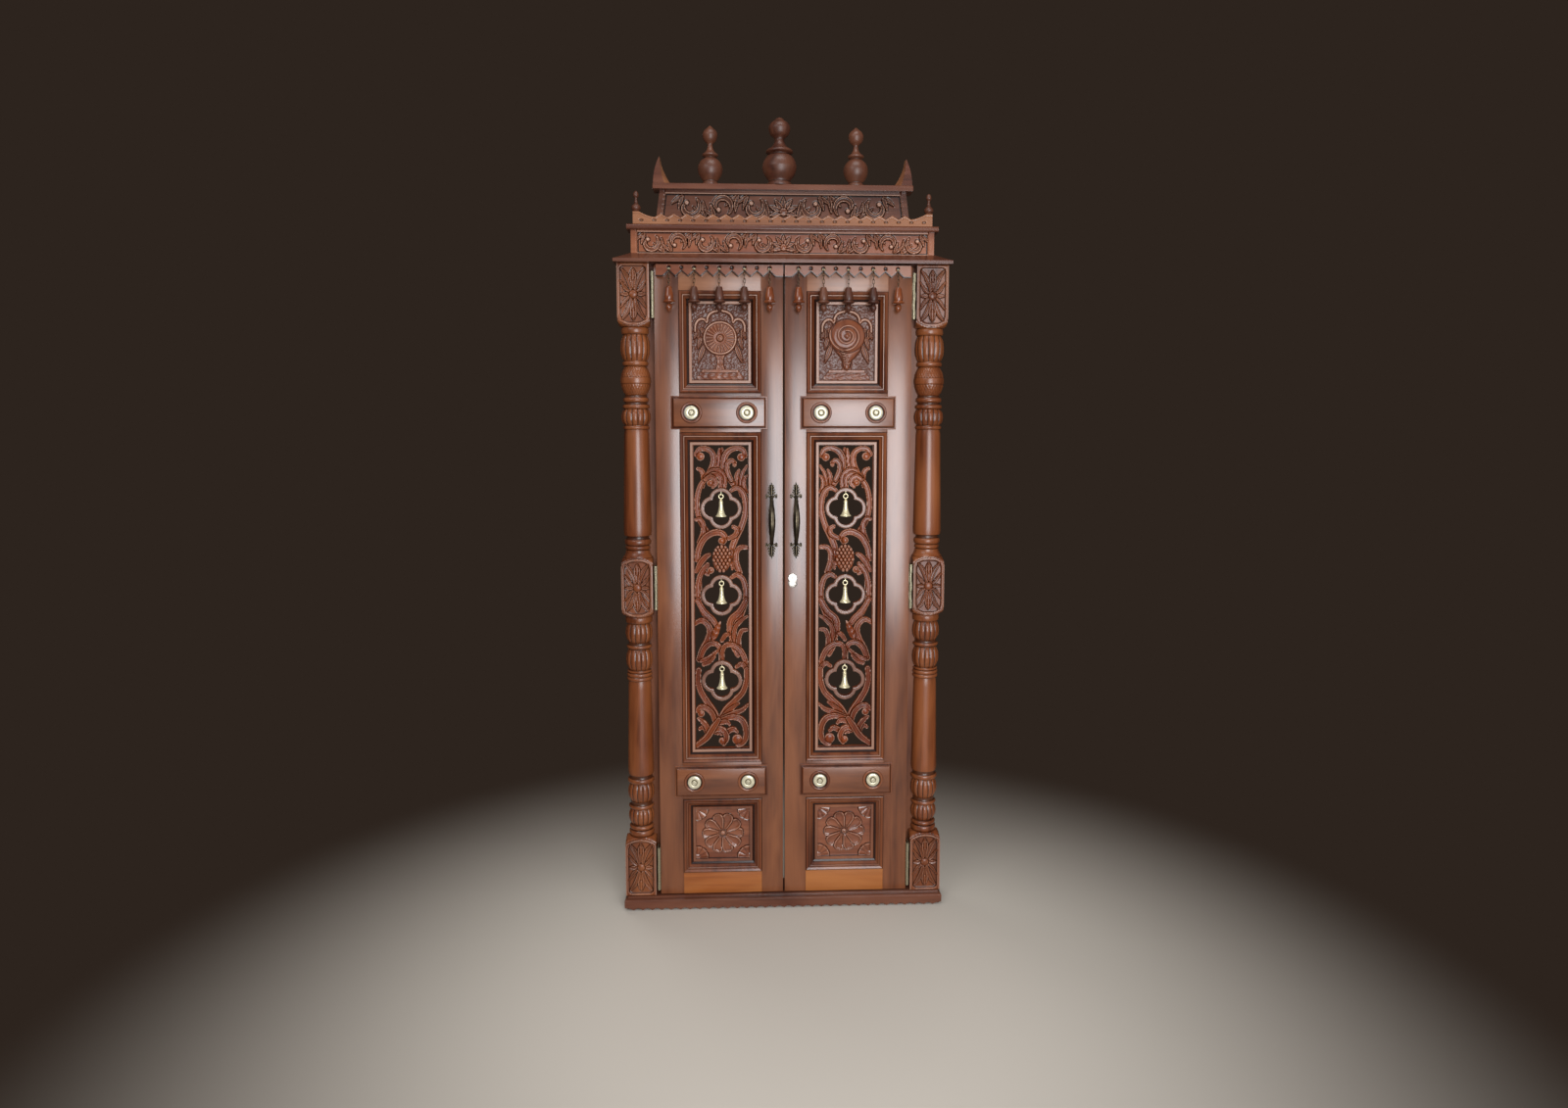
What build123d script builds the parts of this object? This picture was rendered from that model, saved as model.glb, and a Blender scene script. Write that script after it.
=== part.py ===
from build123d import *
import math
import os

# Carved temple door in its own frame: a pair of leaves with wheel, shell, jali and flower panels.
# Millimetres. +Z is up and the carved side faces -Y. The origin is the middle of the threshold's underside.

# Leaves
LEAF_WIDTH = 339.7
LEAF_HEIGHT = 1718.0
LEAF_THICK = 35.0
MEETING_GAP = 4.6
LEAF_FOOT_GAP = 2.0
LEAF_HEAD_GAP = 4.0
HINGE_STILE = 64.0
MEETING_STILE = 58.7
TOP_RAIL = 65.5
BLOCK_RAIL = 104.0
BOTTOM_RAIL = 60.5
TOP_PANEL_HEIGHT = 268.0
BOTTOM_PANEL_HEIGHT = 210.0
TENON_LENGTH = 30.0
TENON_THICK = 12.0
TENON_SHY = 0.2

# Mouldings and panels in the leaves
PANEL_LIP = 7.0
MOULDING_WIDTH = 34.0
MOULDING_PROUD = 3.0
MOULDING_STEP = 11.0
MOULDING_BEVEL = 7.0
PANEL_SINK = 12.0
PANEL_THICK = 14.0
RELIEF = 5.0
JALI_THICK = 16.0
QUATREFOIL_LOBE = 23.0
QUATREFOIL_BAND = 9.5
QUATREFOIL_PITCH = 238.0
QUATREFOIL_RISE = 9.0
BLOCK_THICK = 12.0
BLOCK_HEIGHT = 88.0
BLOCK_OVERLAP = 19.5
ROUNDEL_SPACING = 147.0
ROUNDEL_RING = 27.5
ROUNDEL_DISC = 19.0

# Valance, drops and bells
VALANCE_THICK = 12.0
VALANCE_DEPTH = 30.0
NOTCH_PITCH = 32.9
NOTCH_COUNT = 9
NOTCH_DEPTH = 14.0
FIRST_NOTCH = 38.0
DROP_LENGTH = 66.0
DROP_RADIUS = 15.0
WIRE = 0.9
LINK_LENGTH = 15.0
LINK_WIDTH = 8.4
EYE_RADIUS = 3.6
EYE_LIFT = 3.5
EYE_NECK = 2.2
HOOK_SHANK = 2.5
LINK_PLAY = 0.6
BELL_HEIGHT = 47.0
BELL_MOUTH = 15.0
BELL_WALL = 1.4
BELL_RING = 7.5

# Frame
STOP_GAP = 1.0
BLOCK_AHEAD = 6.0
JAMB_THICK = 45.0
POST_AXIS = 392.0
POST_BLOCK = 84.0
JAMB_OUTER = 418.0
STOP_WIDTH = 12.0
HEAD_RAIL_LAP = 16.0
SILL_THICK = 29.0
SILL_STEP = 4.0
SILL_HALF = 440.0
SILL_REACH = 17.0
SKIRT_TOOTH = 7.0
SKIRT_PITCH = 26.0

# Hinges
HINGE_LENGTH = 120.0
KNUCKLE_RADIUS = 3.6
PIN_RADIUS = 1.7
PIN_PLAY = 0.05
KNUCKLE_PLAY = 0.4
PLATE_THICK = 2.0
PLATE_WIDTH = 28.0
PLATE_SHY = 0.6

# Entablature
EAVE_HALF = 445.0
EAVE_REACH = 22.0
EAVE_NOSE = 9.0
EAVE_RISE = 21.0
FRIEZE_HALF = 403.0
FRIEZE_HEIGHT = 60.0
FRIEZE_SINK = 22.0
FRIEZE_THICK = 40.0
FRIEZE_PILASTER = 18.0
SHELF_HALF = 413.0
SHELF_THICK = 14.0
SHELF_REACH = 10.0
CREST_HALF = 396.0
CREST_HEIGHT = 27.0
CREST_PITCH = 34.0
CREST_POINT = 9.0
CREST_THICK = 11.0
CREST_END = 52.0
CREST_RISE = 5.0
UPPER_FOOT_HALF = 338.0
UPPER_HEAD_HALF = 326.0
UPPER_HEIGHT = 89.5
UPPER_THICK = 28.0
UPPER_SINK = 25.0
PLATE_HALF = 343.0
PLATE_HEIGHT = 15.0
PLATE_REACH = 17.0
HORN_BASE = 33.0
HORN_HEIGHT = 72.0
HORN_THICK = 24.0
CENTRE_FINIAL_X = -10.0
SIDE_FINIAL_X = 193.0
CORNER_FINIAL_INSET = 7.0
FINIAL_FOOT = 6.0

# Finials: the radii of foot, ball, collar, neck and bud, and the height
CENTRE_FINIAL = (33.0, 46.0, 36.0, 13.0, 29.0, 179.0)
SIDE_FINIAL = (22.0, 33.0, 21.0, 6.5, 20.0, 155.0)

# The corner finials' profile above the square foot: radius and height
CORNER_PROFILE = (
    (12.0, 9.0), (12.6, 13.0), (10.0, 19.0), (5.0, 23.0), (3.2, 31.0), (3.2, 36.0), (7.6, 44.0),
    (6.0, 51.0), (0.8, 56.0),
)

# Handles and lock
HANDLE_X = 33.0
HANDLE_HEIGHT = 209.0
HANDLE_Z = 1078.0
HANDLE_REACH = 34.0
HANDLE_PLATE = 4.0
HANDLE_LEAF = (15.5, 15.0)
HANDLE_TIP = (34.0, 17.0)
HANDLE_LEAF_INSET = 24.0
HANDLE_FOOT_INSET = 25.0
HANDLE_BEND_INSET = 44.0
HANDLE_SINK = 2.0
GRIP_WIDE = 9.0
GRIP_DEEP = 5.5
LOCK_X = 24.0
LOCK_Z = 921.5
LOCK_RADIUS = 12.5
LOCK_BARREL = 9.5
LOCK_BEHIND = 4.0
LOCK_PLAY = 0.1
PLUG_RADIUS = 6.0
CAM_LENGTH = 42.0

# The turned posts, from the lower block up and from the middle block up: kind, height, radius
LOWER_BLOCK = 163.5
MIDDLE_BLOCK = 162.0
SHOULDER = 22.0
LOWER_TURNING = (
    ("ring", 17.0, 35.0), ("bead", 14.0, 34.0), ("neck", 1.5, 30.0), ("gadroon", 45.0, 36.0),
    ("ring", 11.0, 35.0), ("neck", 9.0, 30.0), ("gadroon", 53.0, 37.0), ("ring", 14.0, 37.0),
    ("neck", 10.0, 32.0), ("shaft", 265.0, 36.0), ("ring", 11.0, 35.0), ("ring", 11.0, 35.0),
    ("bead", 8.0, 34.0), ("gadroon", 57.0, 37.0), ("neck", 3.0, 30.0), ("ring", 10.0, 35.0),
    ("neck", 7.0, 30.0), ("gadroon", 53.0, 37.5), ("ring", 19.5, 37.0),
)
UPPER_TURNING = (
    ("flare", 19.0, 41.0), ("bead", 14.0, 34.0), ("ring", 17.0, 36.0), ("neck", 9.0, 31.0),
    ("shaft", 286.0, 38.5), ("ring", 11.0, 36.0), ("gadroon", 45.0, 40.0), ("ring", 11.0, 37.0),
    ("neck", 6.0, 31.0), ("ring", 13.0, 35.0), ("neck", 6.0, 31.0), ("knurl", 29.0, 41.0),
    ("bead", 19.0, 40.0), ("knurl", 29.0, 41.0), ("ring", 13.0, 35.0), ("gadroon", 70.0, 40.0),
    ("ring", 19.5, 37.0),
)
SHAFT_TAPER = 0.87
LOBES = 5

# Levels and planes that follow from the sizes above; the door stop's face is y = 0
SILL_TOP = SILL_THICK + SILL_STEP
LEAF_FOOT = SILL_TOP + LEAF_FOOT_GAP
LEAF_HEAD = LEAF_FOOT + LEAF_HEIGHT
EAVE_FOOT = LEAF_HEAD + LEAF_HEAD_GAP
LEAF_BACK = -STOP_GAP
LEAF_FRONT = LEAF_BACK - LEAF_THICK
BLOCK_FRONT = LEAF_FRONT - BLOCK_AHEAD
MEETING_X = MEETING_GAP / 2
HINGE_X = MEETING_X + LEAF_WIDTH
JOINT_WIDTH = POST_AXIS - POST_BLOCK / 2 - HINGE_X
AXIS_X = HINGE_X + JOINT_WIDTH / 2
AXIS_Y = LEAF_FRONT - KNUCKLE_RADIUS - KNUCKLE_PLAY
OPENING_INNER = MEETING_X + MEETING_STILE
OPENING_OUTER = HINGE_X - HINGE_STILE
PANEL_X = (OPENING_INNER + OPENING_OUTER) / 2
PANEL_HALF = (OPENING_OUTER - OPENING_INNER) / 2
SIGHT_HALF = PANEL_HALF - MOULDING_WIDTH
BOTTOM_PANEL = (LEAF_FOOT + BOTTOM_RAIL, LEAF_FOOT + BOTTOM_RAIL + BOTTOM_PANEL_HEIGHT)
TOP_PANEL = (LEAF_HEAD - TOP_RAIL - TOP_PANEL_HEIGHT, LEAF_HEAD - TOP_RAIL)
JALI_PANEL = (BOTTOM_PANEL[1] + BLOCK_RAIL, TOP_PANEL[0] - BLOCK_RAIL)
JALI_LOW = JALI_PANEL[0] + MOULDING_WIDTH
JALI_HIGH = JALI_PANEL[1] - MOULDING_WIDTH
QUATREFOILS = [(JALI_LOW + JALI_HIGH) / 2 + QUATREFOIL_RISE + k * QUATREFOIL_PITCH for k in (-1, 0, 1)]
JALI_FRONT = LEAF_FRONT + PANEL_SINK
FRIEZE_FOOT = EAVE_FOOT + EAVE_NOSE + EAVE_RISE
FRIEZE_FRONT = LEAF_FRONT + FRIEZE_SINK
SHELF_FOOT = FRIEZE_FOOT + FRIEZE_HEIGHT
SHELF_TOP = SHELF_FOOT + SHELF_THICK
UPPER_FRONT = LEAF_FRONT + UPPER_SINK
CREST_FRONT = UPPER_FRONT - CREST_THICK
PLATE_FOOT = SHELF_TOP + UPPER_HEIGHT
PLATE_TOP = PLATE_FOOT + PLATE_HEIGHT
BLOCK_HALF = POST_BLOCK / 2
MIDDLE_BLOCK_FOOT = SILL_TOP + LOWER_BLOCK + sum(height for kind, height, radius in LOWER_TURNING)
TOP_BLOCK_FOOT = MIDDLE_BLOCK_FOOT + MIDDLE_BLOCK + sum(height for kind, height, radius in UPPER_TURNING)
TOP_BLOCK = EAVE_FOOT - TOP_BLOCK_FOOT
HINGES = (
    SILL_TOP + LOWER_BLOCK / 2 - 6.0,
    MIDDLE_BLOCK_FOOT + MIDDLE_BLOCK / 2,
    TOP_BLOCK_FOOT + TOP_BLOCK / 2,
)
BLOCK_RAILS = (BOTTOM_PANEL[1] + BLOCK_RAIL / 2, JALI_PANEL[1] + BLOCK_RAIL / 2)
NOTCHES = [FIRST_NOTCH + NOTCH_PITCH * k for k in range(NOTCH_COUNT)]


def box(x0, x1, y0, y1, z0, z1):
    """A block between two corners."""
    size = (abs(x1 - x0), abs(y1 - y0), abs(z1 - z0))
    return Pos((x0 + x1) / 2, (y0 + y1) / 2, (z0 + z1) / 2) * Box(*size)


def front(sketch, back, thick):
    """A front-view sketch of x and z, raised towards the viewer from the plane y = back."""
    plane = Plane(origin=(0, back, 0), x_dir=(1, 0, 0), z_dir=(0, -1, 0))
    return extrude(plane * sketch, amount=thick)


def outline(points):
    """A straight-sided face."""
    return make_face(Polyline(*points, close=True))


def lens(x, z, length, width, angle):
    """A pointed petal from (x, z) outwards, as two arcs."""
    half = width / 2
    arcs = ThreePointArc((0, 0), (length / 2, half), (length, 0)) + ThreePointArc(
        (length, 0), (length / 2, -half), (0, 0)
    )
    return Pos(x, z) * Rot(0, 0, angle) * make_face(arcs)


def stem(points):
    """A stalk of changing width: each point is x, z and half the width there."""
    left, right = [], []
    for k, (x, z, half) in enumerate(points):
        before = points[max(k - 1, 0)]
        after = points[min(k + 1, len(points) - 1)]
        dx, dz = after[0] - before[0], after[1] - before[1]
        run = math.hypot(dx, dz)
        left.append((x - dz / run * half, z + dx / run * half))
        right.append((x + dz / run * half, z - dx / run * half))
    edges = Spline(*left) + Line(left[-1], right[-1]) + Spline(*reversed(right)) + Line(right[0], left[0])
    return make_face(edges)


def spun(profile):
    """A full turning of a profile of x and z on the right of the axis."""
    return revolve(Plane.XZ * profile, Axis.Z, 360)


def profile_face(points):
    """A turning's half section: points up the outside; a third value of 1 bulges the run by an arc."""
    edges = [Line((0, points[0][1]), points[0][:2])]
    for (r0, z0, *_), (r1, z1, *bulge) in zip(points, points[1:]):
        if math.hypot(r1 - r0, z1 - z0) < 0.001:
            continue
        if bulge:
            run = math.hypot(r1 - r0, z1 - z0)
            out = bulge[0]
            mid = ((r0 + r1) / 2 + out * (z1 - z0) / run, (z0 + z1) / 2 - out * (r1 - r0) / run)
            edges.append(ThreePointArc((r0, z0), mid, (r1, z1)))
        else:
            edges.append(Line((r0, z0), (r1, z1)))
    edges.append(Line(points[-1][:2], (0, points[-1][1])))
    edges.append(Line((0, points[-1][1]), (0, points[0][1])))
    return make_face(Curve() + edges)


# Turned posts
def lobed_half(radius, z):
    """Half a round section with lobes like a fluted bulb's, its flat side at the back."""
    inner = radius * 0.86
    step = math.pi / LOBES
    edges = []
    for k in range(LOBES):
        a, m, b = (math.pi + step * (k + t) for t in (0, 0.5, 1))
        edges.append(ThreePointArc(
            (inner * math.cos(a), inner * math.sin(a)),
            (radius * math.cos(m), radius * math.sin(m)),
            (inner * math.cos(b), inner * math.sin(b)),
        ))
    edges.append(Line((inner, 0), (-inner, 0)))
    return Pos(0, 0, z) * make_face(Curve() + edges)


def gadroon(z, height, radius):
    """A bulb of upright lobes that swell and close in again."""
    shape = ((0.0, 0.80), (0.22, 0.95), (0.5, 1.0), (0.78, 0.95), (1.0, 0.80))
    return loft([lobed_half(radius * r, z + height * t) for t, r in shape], ruled=True)


def turning(segments, foot):
    """The half-round turning between two blocks."""
    outside, bulbs = [], []
    z = foot
    for kind, height, radius in segments:
        top = z + height
        if kind == "shaft":
            outside += [(radius, z), (radius * SHAFT_TAPER, top)]
        elif kind == "flare":
            outside += [(radius, z), (radius * 0.8, top, -3.0)]
        elif kind in ("gadroon", "knurl"):
            core = radius * 0.66
            outside += [(core, z), (core, top)]
            bulbs.append(gadroon(z, height, radius))
        elif kind == "neck":
            outside += [(radius, z), (radius, top)]
        else:
            edge = radius - min(height / 4, 3.5)
            outside += [(edge, z), (edge, top, radius - edge)]
        z = top
    core = revolve(Plane.XZ * profile_face(outside), Axis.Z, 180)
    return Rot(0, 0, 180) * core + bulbs


def block(z, height, round_foot, round_head):
    """A square block whose shoulders were rounded where the turning meets it, with a sunk rosette."""
    square = box(-BLOCK_HALF, BLOCK_HALF, BLOCK_FRONT, 0, z, z + height)
    corner = math.hypot(BLOCK_HALF, BLOCK_FRONT) + 1
    neck = BLOCK_HALF - 4
    foot = [(neck, z), (corner, z + SHOULDER, 4.0)] if round_foot else [(corner, z)]
    top = z + height
    head = [(corner, top - SHOULDER), (neck, top, 4.0)] if round_head else [(corner, top)]
    body = square & spun(profile_face(foot + head))
    border = 10.0
    low = z + border + (6 if round_foot else 0)
    high = top - border - (6 if round_head else 0)
    middle, half = (low + high) / 2, (high - low) / 2
    width = POST_BLOCK - 2 * border
    sunk = Pos(0, middle) * RectangleRounded(width, 2 * half, width * 0.42)
    body -= front(sunk, BLOCK_FRONT + RELIEF - 2, RELIEF)
    petals = Sketch() + Pos(0, middle) * Circle(9.5)
    for k in range(8):
        angle = math.radians(45 * k + 22.5)
        reach = 1 / math.hypot(math.cos(angle) / (width / 2 - 1), math.sin(angle) / (half - 2))
        petals += lens(0, middle, reach, 15.0, math.degrees(angle))
    return body + front(petals, BLOCK_FRONT + RELIEF - 2, RELIEF - 2)


def post():
    """The right-hand post on its own axis, flat at the back."""
    shape = block(SILL_TOP, LOWER_BLOCK, False, True)
    shape += turning(LOWER_TURNING, SILL_TOP + LOWER_BLOCK)
    shape += block(MIDDLE_BLOCK_FOOT, MIDDLE_BLOCK, True, True)
    shape += turning(UPPER_TURNING, MIDDLE_BLOCK_FOOT + MIDDLE_BLOCK)
    shape += block(TOP_BLOCK_FOOT, TOP_BLOCK, True, False)
    cove = outline([(BLOCK_HALF, EAVE_FOOT), (BLOCK_HALF + 8, EAVE_FOOT), (BLOCK_HALF, EAVE_FOOT - 32)])
    return shape + front(cove, 0, -BLOCK_FRONT)


# Frame
def threshold():
    """The sill board with its stepped top, nosed front and pointed skirt."""
    nose = BLOCK_FRONT - SILL_REACH
    board = box(-SILL_HALF, SILL_HALF, nose, JAMB_THICK, SKIRT_TOOTH, SILL_THICK)
    board = chamfer(board.faces().sort_by(Axis.Z)[-1].edges(), 2.5)
    board += box(-SILL_HALF + 4, SILL_HALF - 4, nose + 10, JAMB_THICK, 0, SKIRT_TOOTH)
    board += box(-SILL_HALF + 7, SILL_HALF - 7, BLOCK_FRONT - 2, JAMB_THICK, SILL_THICK, SILL_TOP)
    count = int(2 * SILL_HALF // SKIRT_PITCH)
    start = -count * SKIRT_PITCH / 2
    points = [(start, SKIRT_TOOTH)]
    for k in range(count):
        points += [(start + (k + 0.5) * SKIRT_PITCH, 0.5), (start + (k + 1) * SKIRT_PITCH, SKIRT_TOOTH)]
    skirt = outline(points + [(-start, SKIRT_TOOTH + 3), (start, SKIRT_TOOTH + 3)])
    return board + front(skirt, nose + 10, 10)


def jambs():
    """The flat uprights behind the posts; their inner strip is the door stop."""
    right = box(HINGE_X - STOP_WIDTH, JAMB_OUTER, 0, JAMB_THICK, SILL_TOP, EAVE_FOOT)
    return Compound([right, mirror(right, Plane.YZ)])


def head_rail():
    """The rail between the jambs that the leaves' tops stop against."""
    inside = HINGE_X - STOP_WIDTH
    return box(-inside, inside, 0, JAMB_THICK, LEAF_HEAD - HEAD_RAIL_LAP, EAVE_FOOT)


def slab(half, front_y, back_y, z):
    """A level rectangle to loft through."""
    return Pos(0, (front_y + back_y) / 2, z) * Rectangle(2 * half, back_y - front_y)


def eave():
    """The nosed eave board with its hipped, sloping top."""
    nose = BLOCK_FRONT - EAVE_REACH
    board = box(-EAVE_HALF, EAVE_HALF, nose, JAMB_THICK, EAVE_FOOT, EAVE_FOOT + EAVE_NOSE)
    slope = loft([
        slab(EAVE_HALF - 2, nose + 2, JAMB_THICK, EAVE_FOOT + EAVE_NOSE),
        slab(FRIEZE_HALF + 2, FRIEZE_FRONT - 2, JAMB_THICK, FRIEZE_FOOT),
    ], ruled=True)
    return board + slope


def volute(x, z, radius, turn, width):
    """A C-shaped scroll with a round eye; turn is 1 or -1."""
    start = 60.0 if turn > 0 else 120.0
    inner = radius - width
    angles = [math.radians(start + turn * 250.0 * t) for t in (0, 0.5, 1)]
    outer_points = [(x + radius * math.cos(a), z + radius * math.sin(a)) for a in angles]
    inner_points = [(x + inner * math.cos(a), z + inner * math.sin(a)) for a in angles]
    band = make_face(Curve() + [
        ThreePointArc(*outer_points), Line(outer_points[2], inner_points[2]),
        ThreePointArc(*reversed(inner_points)), Line(inner_points[0], outer_points[0]),
    ])
    inner = (radius - width) * 0.45
    eye = (x + inner * math.cos(angles[2]), z + inner * math.sin(angles[2]))
    return band + Pos(*eye) * Circle(width)


def running_scrolls(count, reach, z, radius):
    """Scrolls that run outwards from a middle palmette, one up and one down."""
    carving = Sketch() + Pos(0, z) * Circle(radius * 0.5)
    for k in range(7):
        carving += lens(0, z, radius * 1.2, radius * 0.5, -30 + 40 * k)
    pitch = reach / count
    for k in range(count):
        x = pitch * (k + 0.75)
        turn = 1 if k % 2 else -1
        for side in (-1, 1):
            carving += volute(side * x, z, radius, turn * side, radius * 0.26)
            slant = 90 - side * 60 if turn > 0 else side * 60 - 90
            foot = side * (x + pitch / 2 - radius * 0.9)
            carving += lens(foot, z - turn * radius * 0.8, radius * 1.6, radius * 0.5, slant)
    return carving


def lower_frieze():
    """The frieze board with end pilasters, a top band and running scrolls on a sunk ground."""
    ground = FRIEZE_FRONT + RELIEF
    back = FRIEZE_FRONT + FRIEZE_THICK
    board = box(-FRIEZE_HALF, FRIEZE_HALF, FRIEZE_FRONT, back, FRIEZE_FOOT, SHELF_FOOT)
    inner = FRIEZE_HALF - FRIEZE_PILASTER
    board -= box(-inner, inner, FRIEZE_FRONT, ground, FRIEZE_FOOT + 6, SHELF_FOOT - 10)
    middle = (FRIEZE_FOOT + 6 + SHELF_FOOT - 10) / 2
    radius = (SHELF_FOOT - 16 - FRIEZE_FOOT) / 2 - 1
    return board + front(running_scrolls(7, inner - radius * 0.5, middle, radius), ground, RELIEF - 0.5)


def shelf():
    """The nosed shelf over the frieze."""
    board = box(-SHELF_HALF, SHELF_HALF, FRIEZE_FRONT - SHELF_REACH, FRIEZE_FRONT + FRIEZE_THICK + 4,
                SHELF_FOOT, SHELF_TOP)
    rim = board.faces().sort_by(Axis.Y)[0].edges().filter_by(Axis.X)
    return fillet(rim, 4.0)


def cresting():
    """The pointed cresting board, curving up at its ends."""
    count = int((2 * (CREST_HALF - CREST_END)) // CREST_PITCH)
    start = -count * CREST_PITCH / 2
    peak = SHELF_TOP + CREST_HEIGHT
    valley = peak - CREST_POINT
    corner = peak + CREST_RISE
    flat = CREST_HALF - 3 * FINIAL_FOOT
    points = [(-CREST_HALF, SHELF_TOP), (-CREST_HALF, corner), (-flat, corner), (start, valley)]
    for k in range(count):
        x = start + k * CREST_PITCH
        points += [(x + CREST_PITCH / 2, peak), (x + CREST_PITCH, valley)]
    points += [(flat, corner), (CREST_HALF, corner), (CREST_HALF, SHELF_TOP)]
    return front(outline(points), CREST_FRONT + CREST_THICK, CREST_THICK)


def upper_frieze():
    """The tapered upper frieze with its carved scrolls and a shell in the middle."""
    shape = outline([(-UPPER_FOOT_HALF, SHELF_TOP), (UPPER_FOOT_HALF, SHELF_TOP),
                     (UPPER_HEAD_HALF, PLATE_FOOT), (-UPPER_HEAD_HALF, PLATE_FOOT)])
    board = front(shape, UPPER_FRONT + UPPER_THICK, UPPER_THICK)
    ground = UPPER_FRONT + RELIEF
    low, high = SHELF_TOP + 20, PLATE_FOOT - 14
    inner_low = UPPER_FOOT_HALF - 19
    inner_high = UPPER_HEAD_HALF - 17
    field = outline([(-inner_low, low), (inner_low, low), (inner_high, high), (-inner_high, high)])
    board -= front(field, ground, RELIEF)
    middle = (low + high) / 2
    radius = (high - low) / 2 - 2
    scrolls = running_scrolls(5, inner_high - radius * 0.4, middle, radius)
    return board + front(scrolls, ground, RELIEF - 0.5)


def top_plate():
    """The cap board that carries the horns and finials."""
    behind = UPPER_FRONT + UPPER_THICK + PLATE_REACH / 2
    board = box(-PLATE_HALF, PLATE_HALF, UPPER_FRONT - PLATE_REACH, behind,
                PLATE_FOOT, PLATE_TOP)
    return chamfer(board.faces().sort_by(Axis.Z)[-1].edges(), 2.0)


def horns():
    """The two upswept end horns."""
    x = PLATE_HALF
    tip = (x - 17, PLATE_TOP + HORN_HEIGHT)
    edges = [
        Line((x - HORN_BASE, PLATE_TOP), (x, PLATE_TOP)),
        ThreePointArc((x, PLATE_TOP), (x - 3, PLATE_TOP + HORN_HEIGHT * 0.52), tip),
        ThreePointArc(tip, (x - 18.5, PLATE_TOP + HORN_HEIGHT * 0.45), (x - HORN_BASE, PLATE_TOP)),
    ]
    middle = UPPER_FRONT + UPPER_THICK / 2
    right = front(make_face(Curve() + edges), middle + HORN_THICK / 2, HORN_THICK)
    return Compound([right, mirror(right, Plane.YZ)])


def finial(x, base, ball, collar, neck, bud, height):
    """A turned finial on the cap board: foot, ball, collar, neck and a pointed bud."""
    shape = profile_face([
        (base, 0), (base, height * 0.05, 1.0), (base * 0.86, height * 0.07), (base * 0.86, height * 0.10),
        (ball * 0.62, height * 0.11), (ball, height * 0.27, 3.5), (ball * 0.72, height * 0.44, 3.5),
        (collar * 0.8, height * 0.46), (collar, height * 0.49), (collar, height * 0.53, 1.0),
        (collar * 0.72, height * 0.555), (neck, height * 0.65, -2.5), (neck, height * 0.69),
        (bud, height * 0.85, 4.0), (bud * 0.62, height * 0.95, 2.0), (0.8, height, 0.6),
    ])
    return Pos(x, UPPER_FRONT + UPPER_THICK / 2, PLATE_TOP) * spun(shape)


def corner_finial():
    """The small turned finial on its square foot at the cresting's end."""
    x, y = CREST_HALF - CORNER_FINIAL_INSET, CREST_FRONT + CREST_THICK + FINIAL_FOOT
    height = CREST_HEIGHT + CREST_RISE + 1
    half = FINIAL_FOOT
    foot = box(x - half, x + half, y - half, y + half, SHELF_TOP, SHELF_TOP + height)
    shape = profile_face([(FINIAL_FOOT, 0)] + list(CORNER_PROFILE))
    return foot + Pos(x, y, SHELF_TOP + height) * spun(shape)


# Hinges
def knuckles(which):
    """The barrel of one hinge; which is 0 for the frame's knuckles and 1 for the leaf's."""
    step = HINGE_LENGTH / 5
    play = KNUCKLE_PLAY / 2
    barrel = Part()
    for k in range(which, 5, 2):
        low = -HINGE_LENGTH / 2 + k * step + (play if k else 0)
        high = -HINGE_LENGTH / 2 + (k + 1) * step - (play if k < 4 else 0)
        barrel += Pos(0, 0, (low + high) / 2) * Cylinder(KNUCKLE_RADIUS, high - low)
    if which:
        return barrel - Cylinder(PIN_RADIUS + PIN_PLAY, HINGE_LENGTH)
    return barrel + Cylinder(PIN_RADIUS, HINGE_LENGTH)


def hinge_half(which):
    """One side of the right-hand leaf's hinges: frame plates and pins, or leaf plates."""
    plates = []
    face = HINGE_X if which else HINGE_X + JOINT_WIDTH - PLATE_THICK
    step = HINGE_LENGTH / 5
    for z in HINGES:
        near = AXIS_Y + KNUCKLE_RADIUS
        plate = box(face, face + PLATE_THICK, near + PLATE_SHY, near + PLATE_WIDTH,
                    z - HINGE_LENGTH / 2, z + HINGE_LENGTH / 2)
        for k in range(which, 5, 2):
            low = z - HINGE_LENGTH / 2 + k * step + KNUCKLE_PLAY / 2
            high = low + step - KNUCKLE_PLAY
            tab = box(face, face + PLATE_THICK, AXIS_Y, near + 2 * PLATE_SHY, low, high)
            plate += tab - Pos(AXIS_X, AXIS_Y, z) * Cylinder(PIN_RADIUS + PIN_PLAY, HINGE_LENGTH)
        plates.append(plate + Pos(AXIS_X, AXIS_Y, z) * knuckles(which))
    return Compound(plates)


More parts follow.
